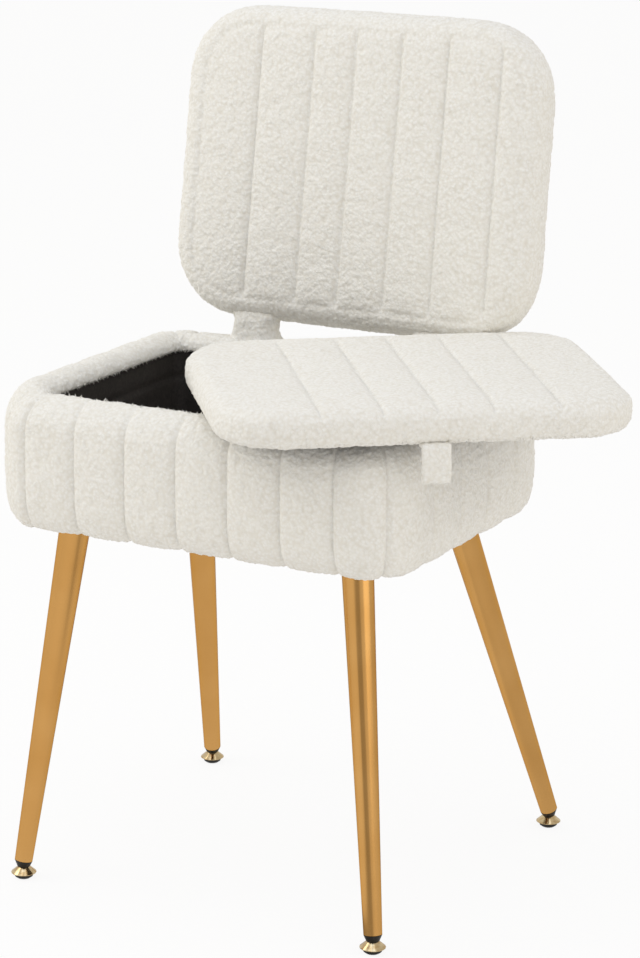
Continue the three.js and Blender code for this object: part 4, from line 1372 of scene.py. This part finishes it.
@dataclass
class RearPanel(ChannelledCushion):
    """The plain padded panel that closes the backrest's rear, blind-stitched inside its edge."""

    # How far inside its edge the panel is stitched, and how deep and wide the stitches crease it
    STITCH_INSET = 9.0
    STITCH_DEPTH, STITCH_WIDTH = 0.8, 2.4

    def section(self) -> list[tuple[float, float]]:
        """Each ring's inset and W, from inside the cushion out to the rear."""
        return [(0.5, -35.0), (0.0, -41.0), (0.8, -43.6), (3.0, -45.2), (8.0, -46.0), (24.0, -46.4),
                (60.0, -46.6)]

    def starting_solid(self) -> tuple[Points, Faces]:
        """Makes the closed slab that is swollen into the panel.

        Returns:
            Points and faces.
        """
        outlines = [(self.outline_ring(inset, 6.0), w) for inset, w in self.section()]
        return loft([np.column_stack([outline, np.full(len(outline), w)]) for outline, w in outlines])

    def sewing(self, local: Points, normals: Points) -> np.ndarray:
        """A shallow crease where the stitches hold the panel's edge."""
        line = crease(self.depth(local) - self.STITCH_INSET, self.STITCH_WIDTH)
        return self.STITCH_DEPTH * line * eased(-normals[:, 2], self.BASE_FROM, self.BASE_FULL)

    def swell(self, shop: Workshop, piece: Piece) -> None:
        """Swells the panel's rear face, held at its edge and inside.

        Args:
            shop: the maker of mesh objects.
            piece: the even starting shape.
        """
        world, world_normals = shop.read(piece)
        local, normals = self.place.back(world), world_normals @ self.place.turn
        held = (normals[:, 2] > self.BASE_BELOW) | (self.depth(local) < self.STITCH_INSET - 1)
        shop.inflate(piece, held.astype(float), self.pressure, self.swell_cap)

    def at_base(self, local: Points, normals: Points) -> np.ndarray:
        """The face inside the cushion, which carries no pile."""
        return eased(normals[:, 2], self.BASE_FROM, self.BASE_FULL)


@dataclass
class PileFringe:
    """Loose ends of the pile that stand out along an edge: short tapered tufts, each a little bent."""

    name: str
    body: str
    length: float = 3.0
    width: float = 1.7
    spread: float = 0.6

    # Shares of the length: the least that a tuft has, how much more it may have, and how far it curls
    LEAST, MORE, CURL = 0.55, 0.8, 0.8
    # How deep a tuft stands in the cloth, and how wide it still is halfway up
    SUNK, SHOULDER = 1.2, 0.32
    # Any direction that no tuft points in
    ASIDE = (0.3, 0.5, 0.81)
    FIRST_SALT = 101

    def tuft(self, root: Points, way: Points, shares: np.ndarray) -> Points:
        """Corners of one tuft: a triangle at its root, one halfway and its tip.

        Args:
            root: where it stands.
            way: the unit direction that it points in.
            shares: six even numbers from 0 to 1 that vary it.

        Returns:
            Seven points.
        """
        lean = way + self.spread * 2 * (shares[:3] - 0.5)
        lean /= np.linalg.norm(lean)
        side = np.cross(lean, self.ASIDE)
        side /= np.linalg.norm(side)
        across = np.cross(lean, side)
        length = self.length * (self.LEAST + self.MORE * shares[3])
        curl = (side * (shares[4] - 0.5) + across * (shares[5] - 0.5)) * length * self.CURL
        turns = [side * math.cos(angle) + across * math.sin(angle)
                 for angle in (0.0, 2 * math.pi / 3, 4 * math.pi / 3)]
        low = [root - lean * self.SUNK + turn * self.width / 2 for turn in turns]
        high = [root + lean * length * 0.5 + curl * 0.3 + turn * self.width * self.SHOULDER
                for turn in turns]
        return np.array(low + high + [root + lean * length + curl])

    def build(self, shop: Workshop, roots: Points, ways: Points) -> Piece:
        """Makes the fringe.

        Args:
            shop: the maker of mesh objects.
            roots: where each tuft stands.
            ways: the direction of each.

        Returns:
            The finished piece.
        """
        cells = np.round(roots * 7).astype(np.int64)
        shares = np.stack([lattice_share(cells, self.FIRST_SALT + k) for k in range(6)], axis=-1)
        points, faces = [], []
        for number, (root, way, share) in enumerate(zip(roots, ways, shares)):
            points.append(self.tuft(root, way, share))
            n = 7 * number
            faces.append((n + 2, n + 1, n))
            for k in range(3):
                j = (k + 1) % 3
                faces += [(n + k, n + j, n + 3 + j, n + 3 + k), (n + 3 + k, n + 3 + j, n + 6)]
        piece = shop.mesh_object(self.name, np.concatenate(points), faces)
        shop.finish_piece(piece, PILE, self.body, [])
        return piece


@dataclass
class Fringes:
    """The loose pile where it shows most: over the box's black lining and round the lid's lower edge."""

    cover: BoxCover
    rim_step: float = 2.3
    lid_step: float = 2.6
    lid_inset: float = 3.5
    lid_level: float = -24.5

    # The rim's inner edge, and its crest: inset from the cover's outside, height over its lowest cloth,
    # how steeply the tufts point up, and their spacing as a share of the rim's step
    RIM_ROWS = ((35.6, 105.0, -0.85, 1.0), (27.0, 115.6, 0.8, 0.8))
    # The crest's tufts stand only in the middle of the front
    CREST_FRONT, CREST_SIDE = -112.0, 150.0
    # How far the tufts of the rim stray inwards and upwards
    STRAY_IN, STRAY_UP = 2.0, 1.5
    SALT = 91

    def rim(self, shop: Workshop) -> None:
        """Adds tufts on the rim's inner edge, and on its crest.

        Args:
            shop: the maker of mesh objects.
        """
        total = self.cover.round_total()
        roots, ways = [], []
        for inset, height, up, spacing in self.RIM_ROWS:
            along = np.arange(0.0, total, spacing * self.rim_step)
            stray = soft_noise(np.column_stack([along * 9, along, along]), 1.0, self.SALT)[:, None] - 0.5
            places, normals = self.cover.outline_at(along)
            flat = places - normals * (inset + self.STRAY_IN * stray)
            root = np.column_stack([flat, self.cover.base + height + self.STRAY_UP * stray])
            root[:, 2] -= self.cover.lowered(root)
            crest = (root[:, 1] < self.CREST_FRONT) & (np.abs(root[:, 0]) < self.CREST_SIDE)
            way = np.column_stack([-normals * math.sqrt(1 - up * up), np.full(len(along), up)])
            kept = (up < 0) | crest
            roots.append(root[kept])
            ways.append(way[kept])
        PileFringe("rim_pile_fringe", "stool").build(shop, np.concatenate(roots), np.concatenate(ways))

    def lid(self, shop: Workshop) -> None:
        """Adds tufts round the lid's lower edge.

        Args:
            shop: the maker of mesh objects.
        """
        half_u, half_v = LID_HALF_U - self.lid_inset, LID_HALF_V - self.lid_inset
        counts = side_counts(half_u, half_v, LID_RADIUS, self.lid_step)
        outline, normals = rounded_outline(half_u, half_v, LID_RADIUS, 30, counts)
        levels = self.lid_level + LID_TILT * outline[:, 1] / LID_HALF_V
        local = np.column_stack([outline + normals, levels])
        place = lid_place()
        ways = np.column_stack([normals * 0.7, np.full(len(normals), -0.7)])
        fringe = PileFringe("lid_pile_fringe", "lid", length=2.4)
        fringe.build(shop, place.out(local), ways @ place.turn.T)


@dataclass
class PostSleeve:
    """A pile sleeve round one post, spread out where it meets the rim and the backrest."""

    side: Side
    spacing: float = 178.0
    width: float = 34.0
    depth: float = 22.0
    corner: float = 9.0
    bottom: float = 423.0
    rim: float = REST_LEVEL
    cushion: float = BACKREST_FOOT[2]
    top: float = 462.5
    front: float = 124.2
    lean: float = BACKREST_LEAN
    flare: float = 7.0
    flare_reach: float = 6.5
    front_flare: float = 0.35
    rounding: float = 16.0
    rounding_depth: float = 9.0
    step: float = 1.6
    relief: PileRelief = field(default_factory=lambda: PileRelief(share=1.25))

    def build(self, shop: Workshop) -> Piece:
        """Makes the sleeve.

        Args:
            shop: the maker of mesh objects.

        Returns:
            The finished piece.
        """
        counts = side_counts(self.width / 2, self.depth / 2, self.corner, self.step)
        outline, normals = rounded_outline(self.width / 2, self.depth / 2, self.corner, 9, counts)
        rings = []
        for z in np.arange(self.bottom, self.top + 0.1, self.step):
            foot = self.flare * math.exp(-max(0.0, z - self.rim) / self.flare_reach)
            head = self.flare * math.exp(-max(0.0, self.cushion + 3 - z) / self.flare_reach)
            high = max(0.0, (z - self.top + self.rounding) / self.rounding)
            rounded = self.rounding_depth * (1 - math.sqrt(max(0.0, 1 - high ** 2)))
            middle = self.front + self.depth / 2 + (z - self.cushion) * math.tan(math.radians(self.lean))
            forward = np.where(normals[:, 1] < 0, self.front_flare * foot, foot + head) - rounded
            sideways = np.full(len(outline), foot + head - rounded)
            ring = outline + normals * np.column_stack([sideways, forward])
            rings.append(np.column_stack([ring[:, 0] + self.side.value * self.spacing / 2,
                                          ring[:, 1] + middle, np.full(len(ring), z)]))
        points, faces = loft(rings)
        piece = shop.mesh_object(f"post_pile_sleeve_{self.side.name.lower()}", points, faces)
        world, out = shop.read(piece)
        ends = (world[:, 2] < self.bottom + 0.5) | (world[:, 2] > self.top - 1.5)
        shop.write(piece, world + out * (self.relief.height(world) * ~ends)[:, None])
        shop.finish_piece(piece, PILE, "stool", [f"post_sleeve_{self.side.name.lower()}"])
        return piece


@dataclass
class PullTab:
    """The lid's pull tab: a folded strip of pile sewn under the front edge, hanging free."""

    width: float = 22.4
    thickness: float = 4.2
    root: float = -117.0
    hang: float = -130.8
    level: float = -1.2
    bend: float = 3.2
    end: float = -29.6
    step: float = 1.3
    # How far from its lower end the strip starts to grow thin, and its least thickness, a squared share
    end_reach: float = 2.2
    end_least: float = 0.12
    relief: PileRelief = field(default_factory=lambda: PileRelief(share=0.75))

    def path(self) -> list[tuple[float, float, float]]:
        """Lays out the strip's middle line, from its root under the lid to its lower end.

        Returns:
            V, height over the lid's underside, and turn in radians, of each place.
        """
        steps = [(self.root + (self.hang + self.bend - self.root) * i / 8, self.level, 0.0)
                 for i in range(8)]
        for i in range(7):
            angle = math.pi / 2 * i / 6
            steps.append((self.hang + self.bend * (1 - math.sin(angle)),
                          self.level - self.bend * (1 - math.cos(angle)), angle))
        low = self.level - self.bend
        count = round((low - self.end) / self.step)
        return steps + [(self.hang, low + (self.end - low) * i / count, math.pi / 2)
                        for i in range(1, count + 1)]

    def build(self, shop: Workshop) -> Piece:
        """Makes the tab.

        Args:
            shop: the maker of mesh objects.

        Returns:
            The finished piece.
        """
        place = lid_place()
        rings = []
        path = self.path()
        counts = side_counts(self.width / 2, self.thickness / 2, self.thickness / 2.1, self.step)
        for number, (v, z, angle) in enumerate(path):
            left = (len(path) - 1 - number) * self.step
            short = max(0.0, (self.end_reach - left) / self.end_reach)
            slim = math.sqrt(max(self.end_least, 1 - short ** 2))
            half = self.thickness / 2 * slim
            outline, _ = rounded_outline(self.width / 2 - 0.8 * (1 - slim), half, half * 0.95, 4, counts)
            across = np.array([0.0, -math.sin(angle), math.cos(angle)])
            middle = np.array([0.0, v, z - LID_THICKNESS])
            rings.append(middle + outline[:, :1] * np.array([1.0, 0, 0]) + outline[:, 1:] * across)
        points, faces = loft(rings)
        piece = shop.mesh_object("lid_pull_tab", place.out(points), faces)
        if sum(face.normal.x * face.center.x for face in piece.data.polygons) < 0:
            piece.data.flip_normals()
        world, out = shop.read(piece)
        shop.write(piece, world + out * self.relief.height(world)[:, None])
        shop.finish_piece(piece, PILE, "lid", ["lid_tab"])
        return piece


@dataclass
class ClothPanel:
    """A flat panel of black cloth, a rounded rectangle stretched over a board, with slow creases."""

    name: str
    half_u: float
    half_v: float
    radius: float
    low: float
    high: float
    place: Place
    body: str
    node: str
    rests_on: tuple[str, ...]
    crease_height: float = 0.5
    tilt: float = 0.0
    rings: int = 22

    # Lengths in mm and salts of the broad and the fine creases
    BROAD, FINE = (42.0, 71), (17.0, 73)
    # How the rings crowd towards the edge, and the least corner radius as a share of a ring's half size
    CROWDING, LEAST_ROUND = 1.05, 0.35

    def build(self, shop: Workshop) -> Piece:
        """Makes the panel, a closed sheet with two faces.

        Args:
            shop: the maker of mesh objects.

        Returns:
            The finished piece.
        """
        reach = min(self.half_u, self.half_v)
        insets = reach * (np.arange(self.rings) / self.rings) ** self.CROWDING
        counts = side_counts(self.half_u, self.half_v, self.radius, 9.0)
        faces_of = []
        for w in (self.high, self.low):
            rows = []
            for inset in insets:
                half_u, half_v = self.half_u - inset, self.half_v - inset
                least = min(half_u, half_v)
                radius = min(max(self.radius - inset, self.LEAST_ROUND * least), least)
                outline, _ = rounded_outline(half_u, half_v, radius, 8, counts)
                rows.append(np.column_stack([outline, np.full(len(outline), w)]))
            faces_of.append(rows)
        points, faces = loft(faces_of[0][::-1] + faces_of[1])
        flat = points * [1, 1, 0]
        ripple = (soft_noise(flat, *self.BROAD) - 0.5) + 0.5 * (soft_noise(flat, *self.FINE) - 0.5)
        depth_in = inside_distance(points, self.half_u, self.half_v, self.radius)
        rise = self.crease_height * np.abs(ripple) * 2 * eased(depth_in, 0, 12)
        points[:, 2] += rise + self.tilt * points[:, 1] / self.half_v
        piece = shop.mesh_object(self.name, self.place.out(points), faces)
        shop.finish_piece(piece, LINING, self.body, [self.node])
        return piece


@dataclass
class WallLining:
    """The black lining of the box's wall, glued to the panels, with a stitched line below the pile."""

    cover: BoxCover
    inset: float = 30.9
    thickness: float = 1.2
    low: float = 335.0
    high: float = 421.2
    step: float = 4.0
    stitch_height: float = 396.0
    stitch_depth: float = 1.3
    stitch_width: float = 2.2
    slack: float = 0.9
    levels: int = 34

    # Length in mm and salt of the slow waves and of the short ones, and their heights
    SLOW, SHORT = (38.0, 83), (15.0, 85)
    SLOW_HEIGHT, SHORT_HEIGHT = 1.6, 0.5

    def build(self, shop: Workshop) -> Piece:
        """Makes the lining, a closed thin band.

        Args:
            shop: the maker of mesh objects.

        Returns:
            The finished piece.
        """
        total = self.cover.round_total()
        along = np.arange(0, total, total / round(total / self.step))
        places, normals = self.cover.outline_at(along)
        heights = np.linspace(self.high, self.low, self.levels)
        rows = [(self.inset, z) for z in heights[::-1]]
        rows += [(self.inset + self.thickness, z) for z in heights]
        grid = np.zeros((len(along), len(rows), 3))
        for k, (inset, z) in enumerate(rows):
            flat = np.column_stack([places, np.full(len(along), z)])
            wave = (soft_noise(flat, *self.SLOW) - 0.5) * self.SLOW_HEIGHT + (
                soft_noise(flat, *self.SHORT) - 0.5) * self.SHORT_HEIGHT
            stitched = self.stitch_depth * crease(flat[:, 2] - self.stitch_height, self.stitch_width)
            puff = np.maximum(self.slack + wave - stitched, -self.slack)
            sunk = inset + puff * float(inset > self.inset)
            grid[:, k, :2] = places - normals * sunk[:, None]
            grid[:, k, 2] = z
        piece = shop.mesh_object("box_wall_lining", grid.reshape(-1, 3),
                                 ring_grid_faces(len(along), len(rows)))
        shop.finish_piece(piece, LINING, "stool", ["box_lining"])
        return piece


# Studio


@dataclass
class Studio:
    """Plain pale floor, soft light, and the camera at the photograph's angle."""

    azimuth: float = 28.947
    elevation: float = 14.247
    roll: float = 0.116
    focal_px: float = 3347.2
    distance: float = 2824.4
    aim_height: float = 380.0
    aim_px: tuple[float, float] = (271.15, 440.07)
    frame_px: tuple[int, int] = (640, 958)

    # Name, azimuth, elevation, side in metres, watts and colour of each lamp
    LAMPS = (
        ("key_softbox", -62, 30, 1.7, 15.8, "#FFFCF4"),
        ("fill_softbox", 84, 8, 2.2, 10, "#FFF8EF"),
        ("top_softbox", 10, 80, 2.0, 12, "#D6E4FF"),
    )
    LAMP_DISTANCE, LAMP_AIM = 2.6, 0.42
    SURROUND = 0.745
    # Half the side of the paper floor in metres, and how much of it shows as plain white
    FLOOR_HALF = 14.0
    FLOOR_WHITE = 0.9
    # Brightness at the seam of the circle, straight behind
    BEHIND = 0.78
    # Compass direction in degrees, 0 in front and 90 to the right, and brightness of the booth there
    BOOTH = ((-165, 0.76), (-60, 0.76), (-15, 0.82), (2, 0.76), (13, 0.34), (28, 0.34), (42, 0.68),
             (58, 0.7), (106, 0.68), (126, 0.62), (165, 0.7))

    def camera(self, shop: Workshop) -> Piece:
        """Makes the camera and makes it the scene's.

        Args:
            shop: gives where the stool's frame lies.

        Returns:
            The camera.
        """
        az, el, roll = (math.radians(a) for a in (self.azimuth, self.elevation, self.roll))
        back = Vector((math.sin(az) * math.cos(el), -math.cos(az) * math.cos(el), math.sin(el)))
        right = Vector((math.cos(az), math.sin(az), 0))
        up = back.cross(right).normalized()
        right, up = (right * math.cos(roll) + up * math.sin(roll),
                     up * math.cos(roll) - right * math.sin(roll))
        lens = bpy.data.cameras.new("camera")
        width, height = self.frame_px
        lens.sensor_fit = "AUTO"
        lens.sensor_width = 36.0
        lens.lens = self.focal_px / height * lens.sensor_width
        lens.shift_x = (width / 2 - self.aim_px[0]) / height
        lens.shift_y = (self.aim_px[1] - height / 2) / height
        lens.clip_start, lens.clip_end = 0.1, 60
        camera = bpy.data.objects.new("camera", lens)
        bpy.context.scene.collection.objects.link(camera)
        aim = Vector(shop.points_in(np.array([0.0, 0.0, self.aim_height])))
        turn = Matrix((right, up, back)).transposed().to_4x4()
        camera.matrix_world = Matrix.Translation(aim + back * self.distance * MM) @ turn
        bpy.context.scene.camera = camera
        return camera

    def lamp(self, name: str, azimuth: float, elevation: float, size: float, watts: float,
             colour: str) -> None:
        """Adds a soft square lamp that shines at the seat.

        Args:
            name: the lamp's name.
            azimuth: its direction round the stool, 0 in front and 90 to the right, in degrees.
            elevation: its height above the horizon in degrees.
            size: its side in metres.
            watts: its power.
            colour: its sRGB hex colour.
        """
        az, el = math.radians(azimuth), math.radians(elevation)
        back = Vector((math.sin(az) * math.cos(el), -math.cos(az) * math.cos(el), math.sin(el)))
        light = bpy.data.lights.new(name, "AREA")
        light.size = size
        light.energy = watts
        light.color = linear(colour)[:3]
        lamp = bpy.data.objects.new(name, light)
        bpy.context.scene.collection.objects.link(lamp)
        turn = back.to_track_quat("Z", "Y").to_matrix().to_4x4()
        at = Vector((0, 0, self.LAMP_AIM)) + back * self.LAMP_DISTANCE
        lamp.matrix_world = Matrix.Translation(at) @ turn

    def lights(self) -> None:
        """Adds the lamps and a soft white surround."""
        for name, azimuth, elevation, size, watts, colour in self.LAMPS:
            self.lamp(name, azimuth, elevation, size, watts, colour)
        world = bpy.data.worlds.new("white_surround")
        world.use_nodes = True
        tree = world.node_tree
        tree.nodes.clear()
        soft = add_node(tree, "ShaderNodeBackground",
                        {"Color": linear("#FFFDFA"), "Strength": self.SURROUND})
        place = add_node(tree, "ShaderNodeTexCoord").outputs["Generated"]
        plain = add_node(tree, "ShaderNodeBackground",
                         {"Color": (1, 1, 1, 1), "Strength": self.booth(tree, place)})
        seen = self.seen_ray(tree)
        mixed = add_node(tree, "ShaderNodeMixShader", {0: seen, 1: soft.outputs[0], 2: plain.outputs[0]})
        add_node(tree, "ShaderNodeOutputWorld", {"Surface": mixed.outputs[0]})
        bpy.context.scene.world = world

    def booth(self, tree: Tree, place: Socket) -> Socket:
        """Gives the brightness of the white booth round the stool: plain to the camera, and by compass
        direction in the gold's reflections, where its open front and the gap beside it are darker.

        Args:
            tree: the node tree of the world or of the floor.
            place: a direction or a place round the stool.

        Returns:
            The brightness.
        """
        along = add_node(tree, "ShaderNodeSeparateXYZ", {0: place})
        behind = add_node(tree, "ShaderNodeMath", {0: along.outputs[1], 1: -1.0}, operation="MULTIPLY")
        turn = add_node(tree, "ShaderNodeMath", {0: along.outputs[0], 1: behind.outputs[0]},
                        operation="ARCTAN2")
        share = add_node(tree, "ShaderNodeMapRange", {0: turn.outputs[0], 1: -math.pi, 2: math.pi})
        curve = add_node(tree, "ShaderNodeFloatCurve", {1: share.outputs[0]})
        line = curve.mapping.curves[0]
        line.points[0].location, line.points[1].location = (0.0, self.BEHIND), (1.0, self.BEHIND)
        for degrees, level in self.BOOTH:
            line.points.new(0.5 + degrees / 360, level)
        curve.mapping.update()
        glossy = add_node(tree, "ShaderNodeLightPath").outputs["Is Glossy Ray"]
        return add_node(tree, "ShaderNodeMix", {0: glossy, 2: 1.0, 3: curve.outputs[0]}).outputs[0]

    def seen_ray(self, tree: Tree) -> Socket:
        """Tells the rays that show the backdrop: from the camera, or by reflection or glass.

        Args:
            tree: the node tree of the world or of the floor.

        Returns:
            1 for such a ray and 0 for any other.
        """
        ray = add_node(tree, "ShaderNodeLightPath").outputs
        either = add_node(tree, "ShaderNodeMath", {0: ray["Is Camera Ray"], 1: ray["Is Glossy Ray"]},
                          operation="MAXIMUM")
        return add_node(tree, "ShaderNodeMath", {0: either.outputs[0], 1: ray["Is Transmission Ray"]},
                        operation="MAXIMUM").outputs[0]

    def floor(self) -> Piece:
        """Makes the floor: white paper that keeps a light shadow of the stool.

        Returns:
            The floor.
        """
        half = self.FLOOR_HALF
        mesh = bpy.data.meshes.new("paper_floor")
        mesh.from_pydata([(-half, -half, 0), (half, -half, 0), (half, half, 0), (-half, half, 0)],
                         [], [(0, 1, 2, 3)])
        floor = bpy.data.objects.new("paper_floor", mesh)
        bpy.context.scene.collection.objects.link(floor)
        material = bpy.data.materials.new("white_paper")
        material.use_nodes = True
        tree = material.node_tree
        tree.nodes.clear()
        grain = add_node(tree, "ShaderNodeTexNoise", {"Scale": 30.0, "Detail": 3.0})
        colour = add_node(tree, "ShaderNodeMix", {0: grain.outputs[0], 6: linear("#F4F3F1"),
                                                  7: linear("#F8F7F5")}, data_type="RGBA")
        matt = add_node(tree, "ShaderNodeBsdfDiffuse", {"Color": colour.outputs[2]})
        place = add_node(tree, "ShaderNodeTexCoord").outputs["Object"]
        glow = add_node(tree, "ShaderNodeEmission",
                        {"Color": (1, 1, 1, 1), "Strength": self.booth(tree, place)})
        seen = self.seen_ray(tree)
        share = add_node(tree, "ShaderNodeMath", {0: seen, 1: self.FLOOR_WHITE}, operation="MULTIPLY")
        mixed = add_node(tree, "ShaderNodeMixShader",
                         {0: share.outputs[0], 1: matt.outputs[0], 2: glow.outputs[0]})
        add_node(tree, "ShaderNodeOutputMaterial", {"Surface": mixed.outputs[0]})
        mesh.materials.append(material)
        return floor


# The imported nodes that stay


@dataclass
class HardParts:
    """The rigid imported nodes: they keep their meshes and get real finishes and smooth shading."""

    smooth_angle: float = 40.0

    def dress(self, frame: dict) -> None:
        """Gives each shown node its finish.
        """
        slots = {row["node"]: Slot(row["material_slot"]) for row in frame["record"]["subparts"]}
        for name, node in sorted(frame["nodes"].items()):
            if node.hide_render:
                continue
            slot = slots[name]
            node.data.materials.clear()
            node.data.materials.append(FINISH_OF_SLOT[slot].material())
            self.smooth(node)
            LOG.info("%s keeps its mesh, in %s", name, FINISH_OF_SLOT[slot].name)

    def smooth(self, node: Piece) -> None:
        """Shades a node smoothly except over its sharp edges, without moving a point.

        Args:
            node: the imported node.
        """
        welded = node.modifiers.new("joined_corners", "WELD")
        welded.merge_threshold = 0.00001
        node.data.shade_smooth()
        sharp = node.modifiers.new("sharp_edges", "EDGE_SPLIT")
        sharp.split_angle = math.radians(self.smooth_angle)


# How far the black cloths under the box and under the lid lie inside their edges
DUST_CLOTH_INSET = 24.6
LID_CLOTH_INSET = 13.0


def main() -> None:
    """Builds the looks of the whole stool."""
    logging.basicConfig(level=logging.INFO, format="%(message)s")
    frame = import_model()
    shop = Workshop()
    scene = bpy.context.scene
    scene.view_settings.view_transform = "Standard"
    studio = Studio()
    studio.camera(shop)
    studio.lights()
    studio.floor()
    box = BoxCover()
    box.build(shop)
    ChannelledCushion(
        name="backrest_cushion", half_u=170.5, half_v=134.6, radius=62, thickness=44, border=15,
        edge_radius=15, crown=4, seams=(-96.7, -45.0, -4.5, 40.2, 84.7, 136.2), place=backrest_place(),
        body="stool", stands_for=("backrest_cover", "backrest_foam"), panel_shift=4.5, face_rise=0.0,
        start_inset=-1.3, welt_depth=1.3, splay=2.0).build(shop)
    ChannelledCushion(
        name="lid_cushion", half_u=LID_HALF_U, half_v=LID_HALF_V, radius=LID_RADIUS, thickness=28.6,
        border=14, edge_radius=12, crown=3, seams=(-88.5, -39.0, 4.8, 49.7, 103.0),
        place=lid_place(), body="lid", stands_for=("lid_cover", "lid_foam"),
        welt_depth=0.0, base_radius=9.0, face_rise=3.4, start_inset=-0.9, base_reach=8.0,
        tilt=LID_TILT, face_relief=0.45, seam_reach=17.0, fan=2.2, pillow=2.1, groove=1.3,
        groove_width=1.8).build(shop)
    RearPanel(
        name="backrest_rear_panel", half_u=163.5, half_v=131, radius=56, thickness=46, border=9,
        edge_radius=4, crown=0, seams=seam_row(CHANNEL_PITCH, 3), place=backrest_place(), body="stool",
        stands_for=("backrest_rear_pad",), swell_cap=2.0, pressure=1.2, base_recess=0.0).build(shop)
    for side in Side:
        PostSleeve(side).build(shop)
    PullTab().build(shop)
    fringes = Fringes(box)
    fringes.rim(shop)
    fringes.lid(shop)
    lining = WallLining(box)
    lining.build(shop)
    ClothPanel(
        name="box_floor_lining", half_u=box.half_x - lining.inset, half_v=box.half_y - lining.inset,
        radius=13.1, low=334.3, high=335.5, place=Place(), body="stool", node="box_lining",
        rests_on=("base_board",)).build(shop)
    ClothPanel(
        name="underside_dust_cloth", half_u=box.half_x - DUST_CLOTH_INSET,
        half_v=box.half_y - DUST_CLOTH_INSET, radius=19.4, low=321.2, high=321.9, place=Place(),
        body="stool", node="dust_cover", rests_on=("base_board",), crease_height=0.0).build(shop)
    ClothPanel(
        name="lid_underside_cloth", half_u=LID_HALF_U - LID_CLOTH_INSET,
        half_v=LID_HALF_V - LID_CLOTH_INSET, radius=31, low=-29.4, high=-28.4, place=lid_place(),
        body="lid", node="lid_underlining", rests_on=("lid_board",), crease_height=0.0,
        tilt=1.7).build(shop)
    HardParts().dress(frame)


if __name__ == "__main__":
    main()
